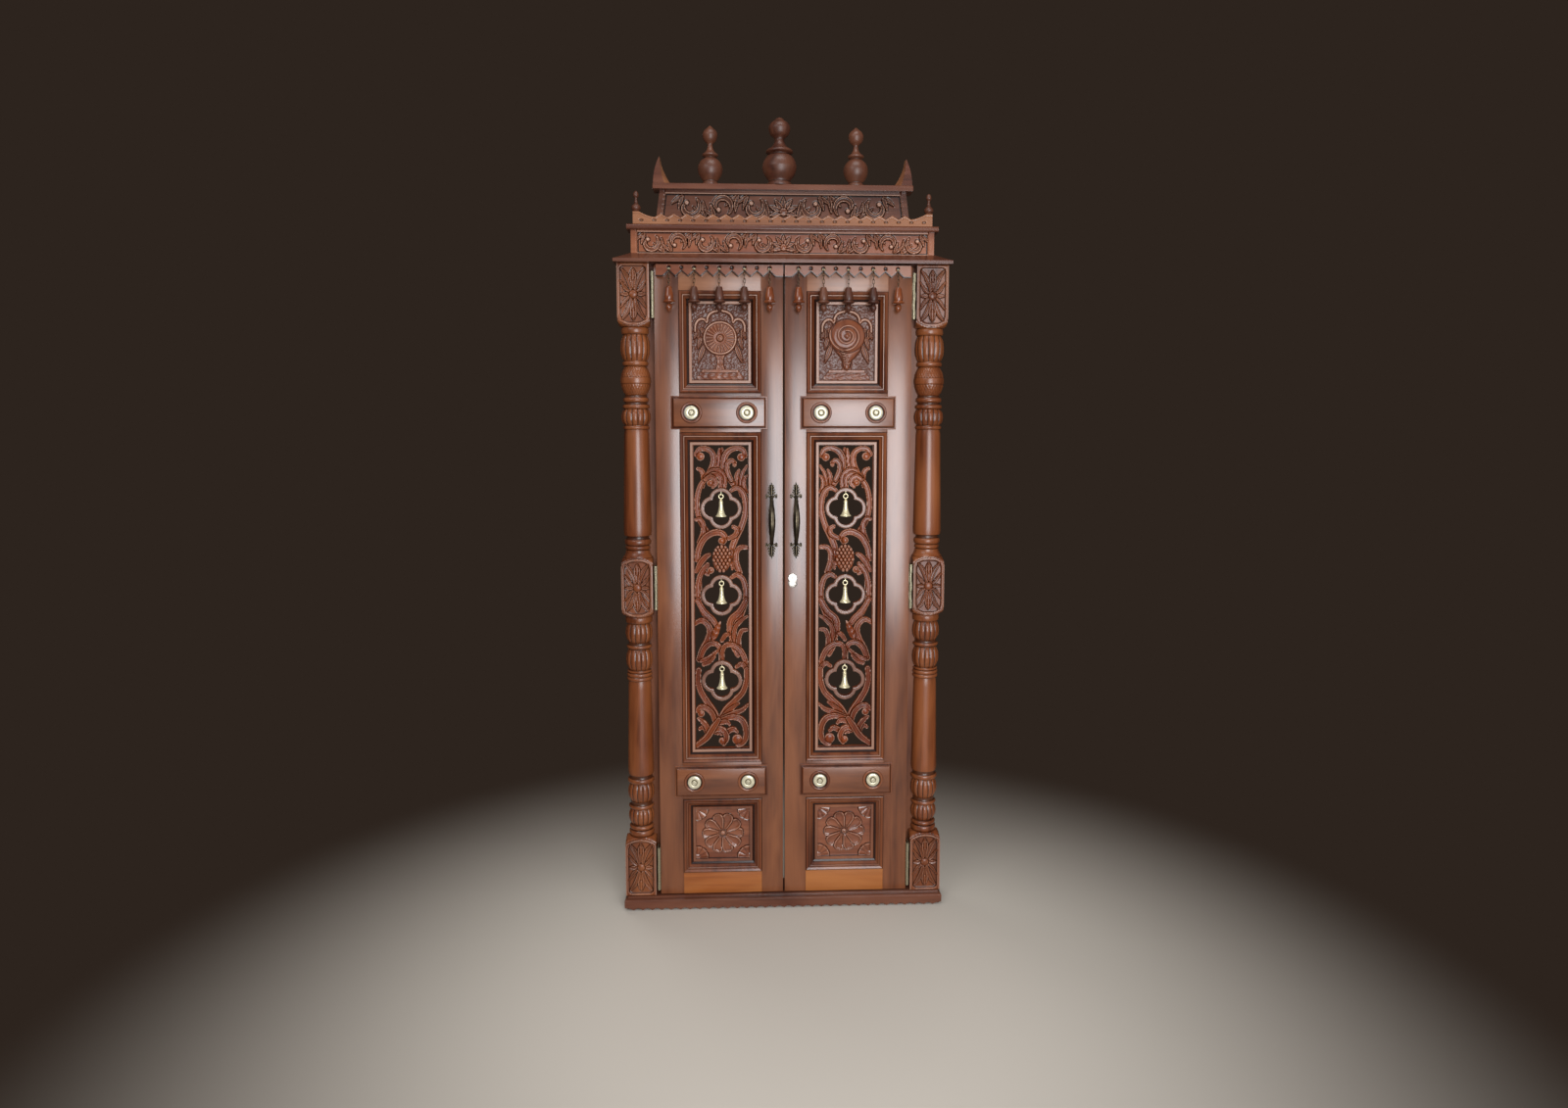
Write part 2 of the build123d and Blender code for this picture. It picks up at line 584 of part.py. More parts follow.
# Leaf pieces are made for the right leaf, at positive x, and mirrored for the left one
def stiles():
    """The hinge stile and the meeting stile, mortised for the rails."""
    rails = [(LEAF_FOOT, BOTTOM_PANEL[0]), (BOTTOM_PANEL[1], JALI_PANEL[0]), (JALI_PANEL[1], TOP_PANEL[0]),
             (TOP_PANEL[1], LEAF_HEAD)]
    meeting = box(MEETING_X, OPENING_INNER, LEAF_FRONT, LEAF_BACK, LEAF_FOOT, LEAF_HEAD)
    hinge = box(OPENING_OUTER, HINGE_X, LEAF_FRONT, LEAF_BACK, LEAF_FOOT, LEAF_HEAD)
    middle = (LEAF_FRONT + LEAF_BACK) / 2
    made = []
    for low, high in rails:
        tenon_low, tenon_high = low + 12, high - 12
        reach = TENON_LENGTH
        mortise = box(OPENING_INNER - reach, OPENING_OUTER + reach, middle - TENON_THICK / 2,
                      middle + TENON_THICK / 2, tenon_low, tenon_high)
        meeting -= mortise
        hinge -= mortise
        rail = box(OPENING_INNER, OPENING_OUTER, LEAF_FRONT, LEAF_BACK, low, high)
        half = TENON_THICK / 2 - TENON_SHY
        rail += box(OPENING_INNER - reach + 1, OPENING_OUTER + reach - 1, middle - half, middle + half,
                    tenon_low + TENON_SHY, tenon_high - TENON_SHY)
        made.append(rail)
    return hinge, meeting, Compound(made)


def mitres(low, high):
    """The outlines of a panel moulding's four lengths, cut at 45 degrees where they meet."""
    x0, x1, cut = OPENING_INNER, OPENING_OUTER, MOULDING_WIDTH
    outer = [(x0, low), (x1, low), (x1, high), (x0, high)]
    inner = [(x0 + cut, low + cut), (x1 - cut, low + cut), (x1 - cut, high - cut), (x0 + cut, high - cut)]
    return [[outer[k - 1], outer[k], inner[k], inner[k - 1]] for k in range(4)]


def moulding(low, high):
    """The four mitred lengths round one panel: a bead, a hollow and a sloping inner fillet."""
    middle, half = (low + high) / 2, (high - low) / 2
    at = Pos(PANEL_X, middle)
    back = LEAF_BACK - 1

    def ring(outer, inner, front_y, back_y):
        sketch = Rectangle(2 * (PANEL_HALF - outer), 2 * (half - outer)) - Rectangle(
            2 * (PANEL_HALF - inner), 2 * (half - inner))
        return front(at * sketch, back_y, back_y - front_y)

    seat = JALI_FRONT
    bead = ring(0, MOULDING_STEP, LEAF_FRONT - MOULDING_PROUD, back)
    bead = chamfer(bead.faces().sort_by(Axis.Y)[0].edges(), MOULDING_PROUD - 0.4)
    fillet_ring = ring(MOULDING_STEP, MOULDING_WIDTH, LEAF_FRONT + 2, seat)
    inner = [e for e in fillet_ring.faces().sort_by(Axis.Y)[0].inner_wires()[0].edges()]
    whole = bead + chamfer(inner, MOULDING_BEVEL)
    lengths = []
    for corner in mitres(low, high):
        wedge = front(outline(corner), back + MOULDING_WIDTH, 3 * MOULDING_WIDTH)
        lengths.append((whole & wedge).solids()[0])
    return Compound(lengths)


def quatrefoil(z, lobe, band=0.0):
    """Four round lobes about (0, z); band widens it all round."""
    shape = Sketch() + Pos(0, z) * Rectangle(2 * lobe, 2 * lobe)
    for dx, dz in ((1, 0), (-1, 0), (0, 1), (0, -1)):
        shape += Pos(dx * lobe, z + dz * lobe) * Circle(lobe + band)
    return shape


# The left jali's stalks about one quatrefoil's centre: x, z and half the stalk's width at each point
BAY_STEMS = (
    ((-40, -62, 4), (-62, -38, 7), (-68, 0, 7), (-62, 40, 7), (-44, 70, 6.5), (-18, 84, 6), (2, 74, 5.5),
     (5, 56, 5)),
    ((-46, 68, 4.5), (-38, 70, 5.5), (-30, 66, 6)),
    ((28, -60, 4), (56, -44, 6.5), (69, -8, 7), (66, 32, 7), (48, 62, 7), (27, 88, 6.5), (15, 114, 6.5),
     (20, 142, 6), (40, 158, 6), (57, 150, 5.5)),
    ((-30, 78, 5), (-12, 98, 6.5), (-9, 124, 6.5), (-21, 149, 6), (-42, 157, 6), (-56, 148, 5.5)),
    ((30, 86, 4.5), (46, 84, 6), (62, 96, 5), (76, 112, 3)),
    ((-54, 58, 4), (-62, 84, 6), (-66, 104, 5), (-76, 122, 3)),
    ((-2, 82, 4), (3, 120, 6), (2, 150, 3)),
)
BAY_BERRIES = ((-30, 63, 9.5), (57, 139, 10.5), (-54, 137, 9.5))
FOOT_STEMS = (
    ((4, -50, 8), (-4, -95, 9), (-22, -130, 8), (-48, -168, 7), (-76, -188, 5)),
    ((-12, -104, 5), (-26, -78, 6), (-46, -68, 6), (-62, -78, 5.5)),
    ((-4, -98, 5), (24, -82, 6), (52, -72, 5), (76, -66, 3)),
    ((0, -112, 5), (30, -98, 6), (60, -94, 4), (76, -92, 3)),
    ((-10, -120, 6), (20, -116, 7), (48, -122, 7), (64, -142, 7), (60, -164, 6.5), (48, -172, 6)),
    ((-22, -130, 5), (4, -134, 6), (14, -152, 6), (6, -166, 5.5)),
    ((-42, -160, 5), (-48, -138, 6), (-60, -126, 5), (-76, -122, 4)),
)
PINE_BUD = (100.0, 26.0, 46.0)
FOOT_BERRIES = ((-61, -88, 9.0), (42, -170, 11.0), (0, -168, 8.5))


def jali():
    """The pierced panel: three quatrefoils among scrolling stalks, with a bud between two of them."""
    height = JALI_HIGH - JALI_LOW
    middle = (JALI_HIGH + JALI_LOW) / 2
    edge = PANEL_LIP
    field = Pos(0, middle) * Rectangle(2 * SIGHT_HALF, height)
    whole = Pos(0, middle) * Rectangle(2 * (SIGHT_HALF + edge), height + 2 * edge)
    carving = whole - field
    for z in QUATREFOILS:
        for points in BAY_STEMS:
            if z == QUATREFOILS[-1]:
                points = [(x, dz * 0.96, half) for x, dz, half in points]
            carving += stem([(x, z + dz, half) for x, dz, half in points])
        for x, dz, radius in BAY_BERRIES:
            carving += Pos(x, z + dz) * Circle(radius)
    for points in FOOT_STEMS:
        carving += stem([(x, QUATREFOILS[0] + dz, half) for x, dz, half in points])
    for x, dz, radius in FOOT_BERRIES:
        carving += Pos(x, QUATREFOILS[0] + dz) * Circle(radius)
    rise, half_width, half_height = PINE_BUD
    carving += Pos(3, QUATREFOILS[1] + rise) * Ellipse(half_width, half_height)
    carving = carving & whole
    for z in QUATREFOILS:
        carving += quatrefoil(z, QUATREFOIL_LOBE, QUATREFOIL_BAND)
    for z in QUATREFOILS:
        carving -= quatrefoil(z, QUATREFOIL_LOBE)
    panel = front(Pos(-PANEL_X, 0) * carving, JALI_FRONT + JALI_THICK, JALI_THICK)
    return mirrored(panel.solids().sort_by(SortBy.VOLUME)[-1])


def panel_board(low, high):
    """A flat carved panel's board, seated behind its moulding, and the level of its ground."""
    edge = PANEL_LIP
    width = SIGHT_HALF + edge
    low, high = low + MOULDING_WIDTH, high - MOULDING_WIDTH
    ground = JALI_FRONT + RELIEF
    back = JALI_FRONT + PANEL_THICK
    board = box(PANEL_X - width, PANEL_X + width, JALI_FRONT, back, low - edge, high + edge)
    board -= box(PANEL_X - SIGHT_HALF + 1, PANEL_X + SIGHT_HALF - 1, JALI_FRONT, ground, low + 1, high - 1)
    return board, ground


def arch_carving(middle, half):
    """The lobed arch, its side leaves and the pedestal that both top panels share."""
    side = SIGHT_HALF - 4
    arch = stem([
        (-side, middle + 28, 4), (-side + 8, middle + 48, 5), (-34, middle + 56, 5), (-18, middle + 74, 5),
        (0, middle + 86, 6), (18, middle + 74, 5), (34, middle + 56, 5), (side - 8, middle + 48, 5),
        (side, middle + 28, 4),
    ])
    carving = Sketch() + arch
    for turn in (-1, 1):
        carving += Pos(turn * (side - 12), middle + 26) * Circle(9)
        carving += lens(turn * (side - 4), middle - 62, 44, 12, 90 + turn * 22)
        carving += lens(turn * (side - 10), middle + 16, 36, 13, -90 + turn * 4)
    foot = middle - half + 3
    carving += outline([(-56, foot), (56, foot), (48, middle - 72), (-48, middle - 72)])
    carving += Pos(0, middle - 60) * Rectangle(30, 24)
    return carving


def wheel_panel():
    """The left leaf's top panel: a spoked wheel on a pedestal under an arch."""
    board, ground = panel_board(*TOP_PANEL)
    middle = (TOP_PANEL[0] + TOP_PANEL[1]) / 2
    half = (TOP_PANEL[1] - TOP_PANEL[0]) / 2 - MOULDING_WIDTH
    carving = arch_carving(middle, half)
    wheel = Pos(0, middle + 8) * (Circle(46) - Circle(38)) + Pos(0, middle + 8) * Circle(12)
    for k in range(12):
        angle = math.radians(30 * k)
        spoke = Rot(0, 0, 30 * k) * Rectangle(28, 5)
        wheel += Pos(25 * math.cos(angle), middle + 8 + 25 * math.sin(angle)) * spoke
    board += front(Pos(PANEL_X, 0) * (carving - Pos(0, middle + 8) * Circle(44)), ground, RELIEF - 1)
    board += front(Pos(PANEL_X, 0) * wheel, ground, RELIEF)
    return board


def shell_panel():
    """The right leaf's top panel: a conch on a pedestal under an arch."""
    board, ground = panel_board(*TOP_PANEL)
    middle = (TOP_PANEL[0] + TOP_PANEL[1]) / 2
    half = (TOP_PANEL[1] - TOP_PANEL[0]) / 2 - MOULDING_WIDTH
    carving = arch_carving(middle, half)
    shell = make_face(Curve() + [
        ThreePointArc((4, middle - 50), (-36, middle - 16), (-30, middle + 26)),
        ThreePointArc((-30, middle + 26), (0, middle + 50), (30, middle + 26)),
        ThreePointArc((30, middle + 26), (36, middle - 12), (4, middle - 50)),
    ])
    carving -= Pos(0, middle + 2) * Circle(44)
    board += front(Pos(PANEL_X, 0) * carving, ground, RELIEF - 1)
    body = front(Pos(PANEL_X, 0) * shell, ground, RELIEF)
    groove = stem([(-26, middle + 22, 1.6), (-8, middle + 30, 1.6), (10, middle + 16, 1.6), (8, middle - 4, 1.6),
                   (-10, middle - 8, 1.6)])
    body -= front(Pos(PANEL_X, 0) * groove, JALI_FRONT + 2, 2)
    return board + body


def flower_panel():
    """The bottom panel: a ten-petalled flower with quarter shells in the corners."""
    board, ground = panel_board(*BOTTOM_PANEL)
    middle = (BOTTOM_PANEL[0] + BOTTOM_PANEL[1]) / 2
    half = (BOTTOM_PANEL[1] - BOTTOM_PANEL[0]) / 2 - MOULDING_WIDTH
    carving = Sketch() + Pos(0, middle) * Circle(11)
    for k in range(10):
        carving += lens(0, middle, 57, 29, 36 * k + 18)
    for dx in (-1, 1):
        for dz in (-1, 1):
            corner = Pos(dx * (SIGHT_HALF - 2), middle + dz * (half - 2)) * Circle(30)
            corner &= Pos(0, middle) * Rectangle(2 * SIGHT_HALF - 4, 2 * half - 4)
            carving += corner
    return board + front(Pos(PANEL_X, 0) * carving, ground, RELIEF - 0.5)


def raised_blocks():
    """The two plain raised blocks, with a turned ring sunk round each roundel's seat."""
    made = []
    low = OPENING_INNER - BLOCK_OVERLAP + 3
    high = OPENING_OUTER + BLOCK_OVERLAP + 3
    for z in BLOCK_RAILS:
        half = BLOCK_HEIGHT / 2
        piece = box(low, high, LEAF_FRONT - BLOCK_THICK, LEAF_FRONT, z - half, z + half)
        piece = chamfer(piece.faces().sort_by(Axis.Y)[0].edges(), 2.0)
        for side in (-1, 1):
            at = Pos((low + high) / 2 + side * ROUNDEL_SPACING / 2, z)
            groove = Circle(ROUNDEL_RING) - Circle(ROUNDEL_RING - 3)
            seat = Circle(ROUNDEL_DISC + 2)
            piece -= front(at * (groove + seat), LEAF_FRONT - BLOCK_THICK + 2, 2)
        made.append(piece)
    return Compound(made)


def roundels():
    """The brass discs seated in the raised blocks, each with a small boss."""
    made = []
    middle = (OPENING_INNER + OPENING_OUTER) / 2 + 3
    seat = LEAF_FRONT - BLOCK_THICK + 2
    shape = profile_face([(ROUNDEL_DISC, 0), (ROUNDEL_DISC, 1.5), (ROUNDEL_DISC - 3, 4.0), (8, 5.0), (6.5, 3.6),
                          (6.5, 5.6), (4.0, 7.4), (0.8, 8.0)])
    for z in BLOCK_RAILS:
        for side in (-1, 1):
            turn = Rot(90, 0, 0) * spun(shape)
            made.append(Pos(middle + side * ROUNDEL_SPACING / 2, seat, z) * turn)
    return Compound(made)


def valance():
    """The notched valance strip across the leaf's head, with a dot above each notch."""
    foot = LEAF_HEAD - VALANCE_DEPTH
    low, high = MEETING_X, FIRST_NOTCH + NOTCH_PITCH * (NOTCH_COUNT - 1) + 34.8
    points = [(low, LEAF_HEAD), (high, LEAF_HEAD), (high, foot)]
    for x in reversed(NOTCHES):
        half = NOTCH_PITCH / 2 - 1.5
        points += [(x + half, foot), (x, foot + NOTCH_DEPTH), (x - half, foot)]
    points += [(low, foot)]
    strip = front(outline(points), LEAF_FRONT, VALANCE_THICK)
    dots = Sketch() + [Pos(x, LEAF_HEAD - 6.8) * Circle(4.5) for x in NOTCHES]
    return strip - front(dots, LEAF_FRONT - VALANCE_THICK + 1.5, 1.5)


EYE_Z = LEAF_HEAD - VALANCE_DEPTH + NOTCH_DEPTH + EYE_LIFT
EYE_Y = LEAF_FRONT - VALANCE_THICK - EYE_RADIUS - EYE_NECK
PIVOT_Y = EYE_Y - EYE_RADIUS


def link():
    """A chain link in the x-z plane, its length upright."""
    hole = LINK_LENGTH - 4 * WIRE
    ring = Rot(0, 0, 90) * (SlotOverall(LINK_LENGTH, LINK_WIDTH) - SlotOverall(hole, LINK_WIDTH - 4 * WIRE))
    return front(ring, WIRE, 2 * WIRE)


def round_ring(radius):
    """A ring in the x-z plane; radius is to the middle of its wire."""
    return front(Circle(radius + WIRE) - Circle(radius - WIRE), WIRE, 2 * WIRE)


def screw_eye(x, y, z):
    """A screw eye in the valance's face: a shank and a level ring."""
    face = LEAF_FRONT - VALANCE_THICK
    shank = box(x - WIRE, x + WIRE, y + EYE_RADIUS, face, z - WIRE, z + WIRE)
    return Pos(x, y, z) * Rot(90, 0, 0) * round_ring(EYE_RADIUS) + shank


def bell_hook(z):
    """The hook in a quatrefoil's top lobe: a plate-like foot and a ring across the opening."""
    top = z + 2 * QUATREFOIL_LOBE
    middle = JALI_FRONT + JALI_THICK / 2
    ring = Pos(PANEL_X, middle, top - HOOK_SHANK - EYE_RADIUS) * Rot(0, 0, 90) * round_ring(EYE_RADIUS)
    shank = box(PANEL_X - WIRE, PANEL_X + WIRE, middle - WIRE, middle + WIRE, top - HOOK_SHANK, top - 0.1)
    return ring + shank


def eyes():
    """The leaf's five screw eyes and three bell hooks."""
    made = [screw_eye(x, EYE_Y, EYE_Z) for x in NOTCHES[::2]]
    return Compound(made + [bell_hook(z) for z in QUATREFOILS])


def drop(x):
    """A turned drop on two links of chain, hanging from its screw eye's front."""
    pitch = LINK_LENGTH - 2 * WIRE
    first = EYE_Z + 3 * WIRE + LINK_PLAY - LINK_LENGTH / 2
    second = first - pitch + 2 * WIRE + LINK_PLAY
    links = [
        Pos(x, PIVOT_Y, first) * Rot(0, 0, 90) * link(),
        Pos(x, PIVOT_Y, second) * link(),
    ]
    third = second - LINK_LENGTH / 2 + 3 * WIRE + LINK_PLAY - EYE_RADIUS
    ring = Pos(x, PIVOT_Y, third) * Rot(0, 0, 90) * round_ring(EYE_RADIUS)
    top = third - EYE_RADIUS
    body = profile_face([
        (0.8, -DROP_LENGTH), (5.6, -DROP_LENGTH * 0.90), (8.6, -DROP_LENGTH * 0.80), (8.0, -DROP_LENGTH * 0.72),
        (6.0, -DROP_LENGTH * 0.67), (DROP_RADIUS, -DROP_LENGTH * 0.60), (DROP_RADIUS, -DROP_LENGTH * 0.54),
        (11.4, -DROP_LENGTH * 0.50), (12.7, -DROP_LENGTH * 0.36), (10.6, -DROP_LENGTH * 0.16),
        (7.6, -DROP_LENGTH * 0.03), (5.0, 0),
    ])
    turned = Pos(x, PIVOT_Y, top) * spun(body)
    return Compound(links + [turned + ring])


def bell(z):
    """A hollow brass bell with its hanging ring and its clapper."""
    hook = z + 2 * QUATREFOIL_LOBE - HOOK_SHANK - 2 * EYE_RADIUS
    middle = JALI_FRONT + JALI_THICK / 2
    ring_z = hook + 3 * WIRE + LINK_PLAY - BELL_RING
    ring = Pos(PANEL_X, middle, ring_z) * round_ring(BELL_RING - WIRE)
    top = ring_z - BELL_RING + 0.4
    wall = BELL_WALL
    waist = BELL_MOUTH * 0.5
    levels = ((3.6, 0.0), (5.4, 0.08), (waist * 0.86, 0.40), (waist * 1.25, 0.74),
              (BELL_MOUTH * 0.82, 0.92),
              (BELL_MOUTH, 1.0))
    outside = [(r, top - BELL_HEIGHT * t) for r, t in levels]
    inside = [(r - wall, z) for r, z in reversed(outside[2:])]
    section = outline([(0, top)] + outside + inside + [(0, inside[-1][1] + 2)])
    shell = Pos(PANEL_X, middle, 0) * spun(section)
    foot = top - BELL_HEIGHT
    rod = Pos(PANEL_X, middle, (top - 8 + foot + 6) / 2) * Cylinder(0.9, top - 8 - foot - 6)
    ball = Pos(PANEL_X, middle, foot + 6) * Sphere(3.2)
    return Compound([shell + ring, rod + ball])


def handle():
    """A pull handle: leaf-shaped ends on the stile and a bowed grip between them."""
    x = HANDLE_X
    half = HANDLE_HEIGHT / 2
    plates = Sketch()
    for turn in (-1, 1):
        end = HANDLE_Z + turn * half
        plates += Pos(x, end - turn * HANDLE_LEAF_INSET) * Ellipse(*HANDLE_LEAF)
        plates += lens(x, end, *HANDLE_TIP, -90 * turn)
    shape = front(plates, LEAF_FRONT, HANDLE_PLATE)
    seat = LEAF_FRONT - HANDLE_PLATE
    reach = HANDLE_REACH - HANDLE_PLATE * 2
    foot, bend = half - HANDLE_FOOT_INSET, half - HANDLE_BEND_INSET
    path = Spline(
        (x, seat + HANDLE_SINK, HANDLE_Z - foot), (x, seat - reach * 0.8, HANDLE_Z - bend),
        (x, seat - reach, HANDLE_Z), (x, seat - reach * 0.8, HANDLE_Z + bend),
        (x, seat + HANDLE_SINK, HANDLE_Z + foot), tangents=[(0, -1, 0.25), (0, 1, 0.25)],
    )
    section = Plane(origin=path @ 0, x_dir=(1, 0, 0), z_dir=path % 0) * Ellipse(GRIP_WIDE, GRIP_DEEP)
    return shape + sweep(section, path=path)


def lock_cylinder():
    """The cylinder of the cam lock, its rosette on the right leaf's meeting stile."""
    inward = (Align.CENTER, Align.CENTER, Align.MAX)
    barrel = Rot(90, 0, 0) * Cylinder(LOCK_BARREL, LEAF_THICK + LOCK_BEHIND, align=inward)
    rosette = Rot(90, 0, 0) * Cylinder(LOCK_RADIUS, 4, align=(Align.CENTER, Align.CENTER, Align.MIN))
    body = Pos(0, LEAF_FRONT, 0) * (barrel + chamfer(rosette.faces().sort_by(Axis.Y)[0].edges(), 1.2))
    bore = Rot(90, 0, 0) * Cylinder(PLUG_RADIUS + PIN_PLAY, 3 * LEAF_THICK)
    return Pos(LOCK_X, 0, LOCK_Z) * (body - bore)


def lock_plug():
    """The key plug with its cam behind the leaf, hanging straight down when unlocked."""
    length = LEAF_THICK + 4 + 4 + 3
    plug = Pos(0, LEAF_FRONT - 4.4, 0) * Rot(90, 0, 0) * Cylinder(
        PLUG_RADIUS, length + 1.0, align=(Align.CENTER, Align.CENTER, Align.MAX))
    slot = box(-0.8, 0.8, LEAF_FRONT - 5, LEAF_FRONT + 8, -4, 4)
    cam_back = LEAF_BACK + 4 + 3.3
    cam = front(Pos(0, -CAM_LENGTH / 2 + 7) * RectangleRounded(15, CAM_LENGTH, 7), cam_back, 3.0)
    return Pos(LOCK_X, 0, LOCK_Z) * (plug - slot + cam)


def mirrored(shape):
    """The left-hand twin of a right-hand piece."""
    return mirror(shape, Plane.YZ)


def build():
    """Every node by name."""
    right_post = Pos(POST_AXIS, 0, 0) * post()
    hinge_stile, meeting_stile, rails = stiles()
    bore = Rot(90, 0, 0) * Cylinder(LOCK_BARREL + LOCK_PLAY, 4 * LEAF_THICK)
    drilled = meeting_stile - Pos(LOCK_X, 0, LOCK_Z) * bore
    mouldings = Compound([moulding(*span) for span in (BOTTOM_PANEL, JALI_PANEL, TOP_PANEL)])
    frame_plates = hinge_half(0)
    leaf_plates = hinge_half(1)
    leaf = {
        "hinge_stile": hinge_stile, "rails": rails, "jali": jali(), "bottom_panel": flower_panel(),
        "panel_mouldings": mouldings, "raised_blocks": raised_blocks(), "roundels": roundels(),
        "valance": valance(), "hooks": eyes(), "handle": handle(), "hinge_plates": leaf_plates,
    }
    nodes = {
        "threshold": threshold(), "jambs": jambs(), "head_rail": head_rail(),
        "right_post": right_post, "left_post": mirrored(right_post),
        "eave": eave(), "lower_frieze": lower_frieze(), "shelf": shelf(), "cresting": cresting(),
        "upper_frieze": upper_frieze(), "top_plate": top_plate(), "horns": horns(),
        "centre_finial": finial(CENTRE_FINIAL_X, *CENTRE_FINIAL),
        "side_finials": Compound([finial(side * SIDE_FINIAL_X, *SIDE_FINIAL) for side in (-1, 1)]),
        "frame_hinge_plates": Compound(frame_plates.solids() + mirrored(frame_plates).solids()),
        "right_meeting_stile": drilled, "left_meeting_stile": mirrored(meeting_stile),
        "left_top_panel": mirrored(wheel_panel()), "right_top_panel": shell_panel(),
        "lock_cylinder": lock_cylinder(), "lock_plug": lock_plug(),
    }
    corner = corner_finial()
    nodes["corner_finials"] = Compound([corner, mirrored(corner)])
    for name, shape in leaf.items():
        nodes["right_" + name] = shape
        nodes["left_" + name] = mirrored(shape)
    for k, x in enumerate(NOTCHES[::2], 1):
        nodes[f"right_drop_{k}"] = drop(x)
        nodes[f"left_drop_{k}"] = mirrored(drop(x))
    for k, z in enumerate(QUATREFOILS, 1):
        nodes[f"right_bell_{k}"] = bell(z)
        nodes[f"left_bell_{k}"] = mirrored(bell(z))
    return nodes


os.makedirs("parts", exist_ok=True)
for name, shape in build().items():
    export_step(shape, f"parts/{name}.step")
    print(name, len(shape.solids()), "solids")
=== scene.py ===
# %% [markdown]
# # A carved shrine door
#
# This lesson dresses a pair of carved wooden door leaves and their frame. The frame of plain solids is
# already made, at its real size. Every cell takes one piece of the real door and gives it the form and
# the finish that a carver, a turner or a brass founder would give it.

# %% Load the frame of solids
import math

import bmesh
import bpy
import numpy as np
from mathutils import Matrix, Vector
from mathutils.geometry import delaunay_2d_cdt


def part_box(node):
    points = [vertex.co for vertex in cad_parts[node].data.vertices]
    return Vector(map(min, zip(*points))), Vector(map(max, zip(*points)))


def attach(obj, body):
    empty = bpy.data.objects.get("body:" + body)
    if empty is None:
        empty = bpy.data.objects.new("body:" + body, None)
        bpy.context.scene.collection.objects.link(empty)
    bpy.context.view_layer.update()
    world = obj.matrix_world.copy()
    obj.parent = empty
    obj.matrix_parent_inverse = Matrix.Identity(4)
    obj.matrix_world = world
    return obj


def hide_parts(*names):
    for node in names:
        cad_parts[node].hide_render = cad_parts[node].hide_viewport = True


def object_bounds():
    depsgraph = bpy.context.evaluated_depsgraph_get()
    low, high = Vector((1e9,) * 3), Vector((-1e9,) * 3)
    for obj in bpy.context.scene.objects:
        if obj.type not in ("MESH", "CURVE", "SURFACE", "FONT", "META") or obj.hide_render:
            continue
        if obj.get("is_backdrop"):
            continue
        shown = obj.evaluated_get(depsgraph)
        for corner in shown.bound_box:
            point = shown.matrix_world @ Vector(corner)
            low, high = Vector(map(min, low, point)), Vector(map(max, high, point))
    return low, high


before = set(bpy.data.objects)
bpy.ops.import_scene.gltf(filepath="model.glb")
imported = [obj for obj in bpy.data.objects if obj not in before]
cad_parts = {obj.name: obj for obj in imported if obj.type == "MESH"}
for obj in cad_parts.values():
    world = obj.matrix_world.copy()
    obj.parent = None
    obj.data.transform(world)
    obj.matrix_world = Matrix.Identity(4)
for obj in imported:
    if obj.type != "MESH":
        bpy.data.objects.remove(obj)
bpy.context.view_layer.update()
MM = 0.001

# %% [markdown]
# ## Where each board lies
#
# The solids tell where each board begins and ends, so no place is written twice. A door maker would do
# the same: the carvings are cut to fit the openings that the boards leave.

# %% Read the places from the solids


def span(node, axis):
    """The lowest and highest value of a solid along one axis, in millimetres."""
    low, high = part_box(node)
    return low[axis] / MM, high[axis] / MM


def centre_of(node, axis):
    """The middle of a solid along one axis, in millimetres."""
    return sum(span(node, axis)) / 2


LEAF_FRONT, LEAF_BACK = span("right_hinge_stile", 1)
LEAF_FOOT, LEAF_HEAD = span("right_hinge_stile", 2)
MEETING_X, OPENING_INNER = span("right_meeting_stile", 0)
OPENING_OUTER, HINGE_X = span("right_hinge_stile", 0)
PANEL_X = (OPENING_INNER + OPENING_OUTER) / 2
PANEL_HALF = (OPENING_OUTER - OPENING_INNER) / 2
MOULDING_WIDTH = 34.0
PANEL_LIP = 7.0
SIGHT_HALF = PANEL_HALF - MOULDING_WIDTH


def sight(node):
    """The lowest and highest visible z of a carved panel."""
    low, high = span(node, 2)
    return low + PANEL_LIP, high - PANEL_LIP


JALI_SIGHT = sight("right_jali")
TOP_SIGHT = sight("right_top_panel")
BOTTOM_SIGHT = sight("right_bottom_panel")
print("each leaf is", round(HINGE_X - MEETING_X), "by", round(LEAF_HEAD - LEAF_FOOT), "mm")

# %% [markdown]
# ## The camera
#
# The picture of the real door was taken a little to the left of its middle, from about eye height, with
# the lens turned down a few degrees. A shift of the lens puts the middle of perspective a little above
# the middle of the frame.

# %% Set up the camera
IMAGE_WIDTH = 1600
IMAGE_HEIGHT = 1131
FOCAL_PIXELS = 938.6
EYE_ROW = 522.0
SENSOR = 36.0
CAMERA_PLACE = (-105.2 * MM, -2506.5 * MM, 1319.1 * MM)
CAMERA_YAW = 2.45
CAMERA_PITCH = 5.0

camera_data = bpy.data.cameras.new("camera")
camera_data.sensor_width = SENSOR
camera_data.lens = SENSOR * FOCAL_PIXELS / IMAGE_WIDTH
camera_data.shift_y = -(IMAGE_HEIGHT / 2 - EYE_ROW) / IMAGE_WIDTH
camera = bpy.data.objects.new("camera", camera_data)
camera.location = CAMERA_PLACE
camera.rotation_euler = (math.radians(90 - CAMERA_PITCH), 0, math.radians(-CAMERA_YAW))
bpy.context.scene.collection.objects.link(camera)
bpy.context.scene.camera = camera
bpy.context.scene.view_settings.view_transform = "Standard"
print("lens", round(camera_data.lens, 2), "mm")

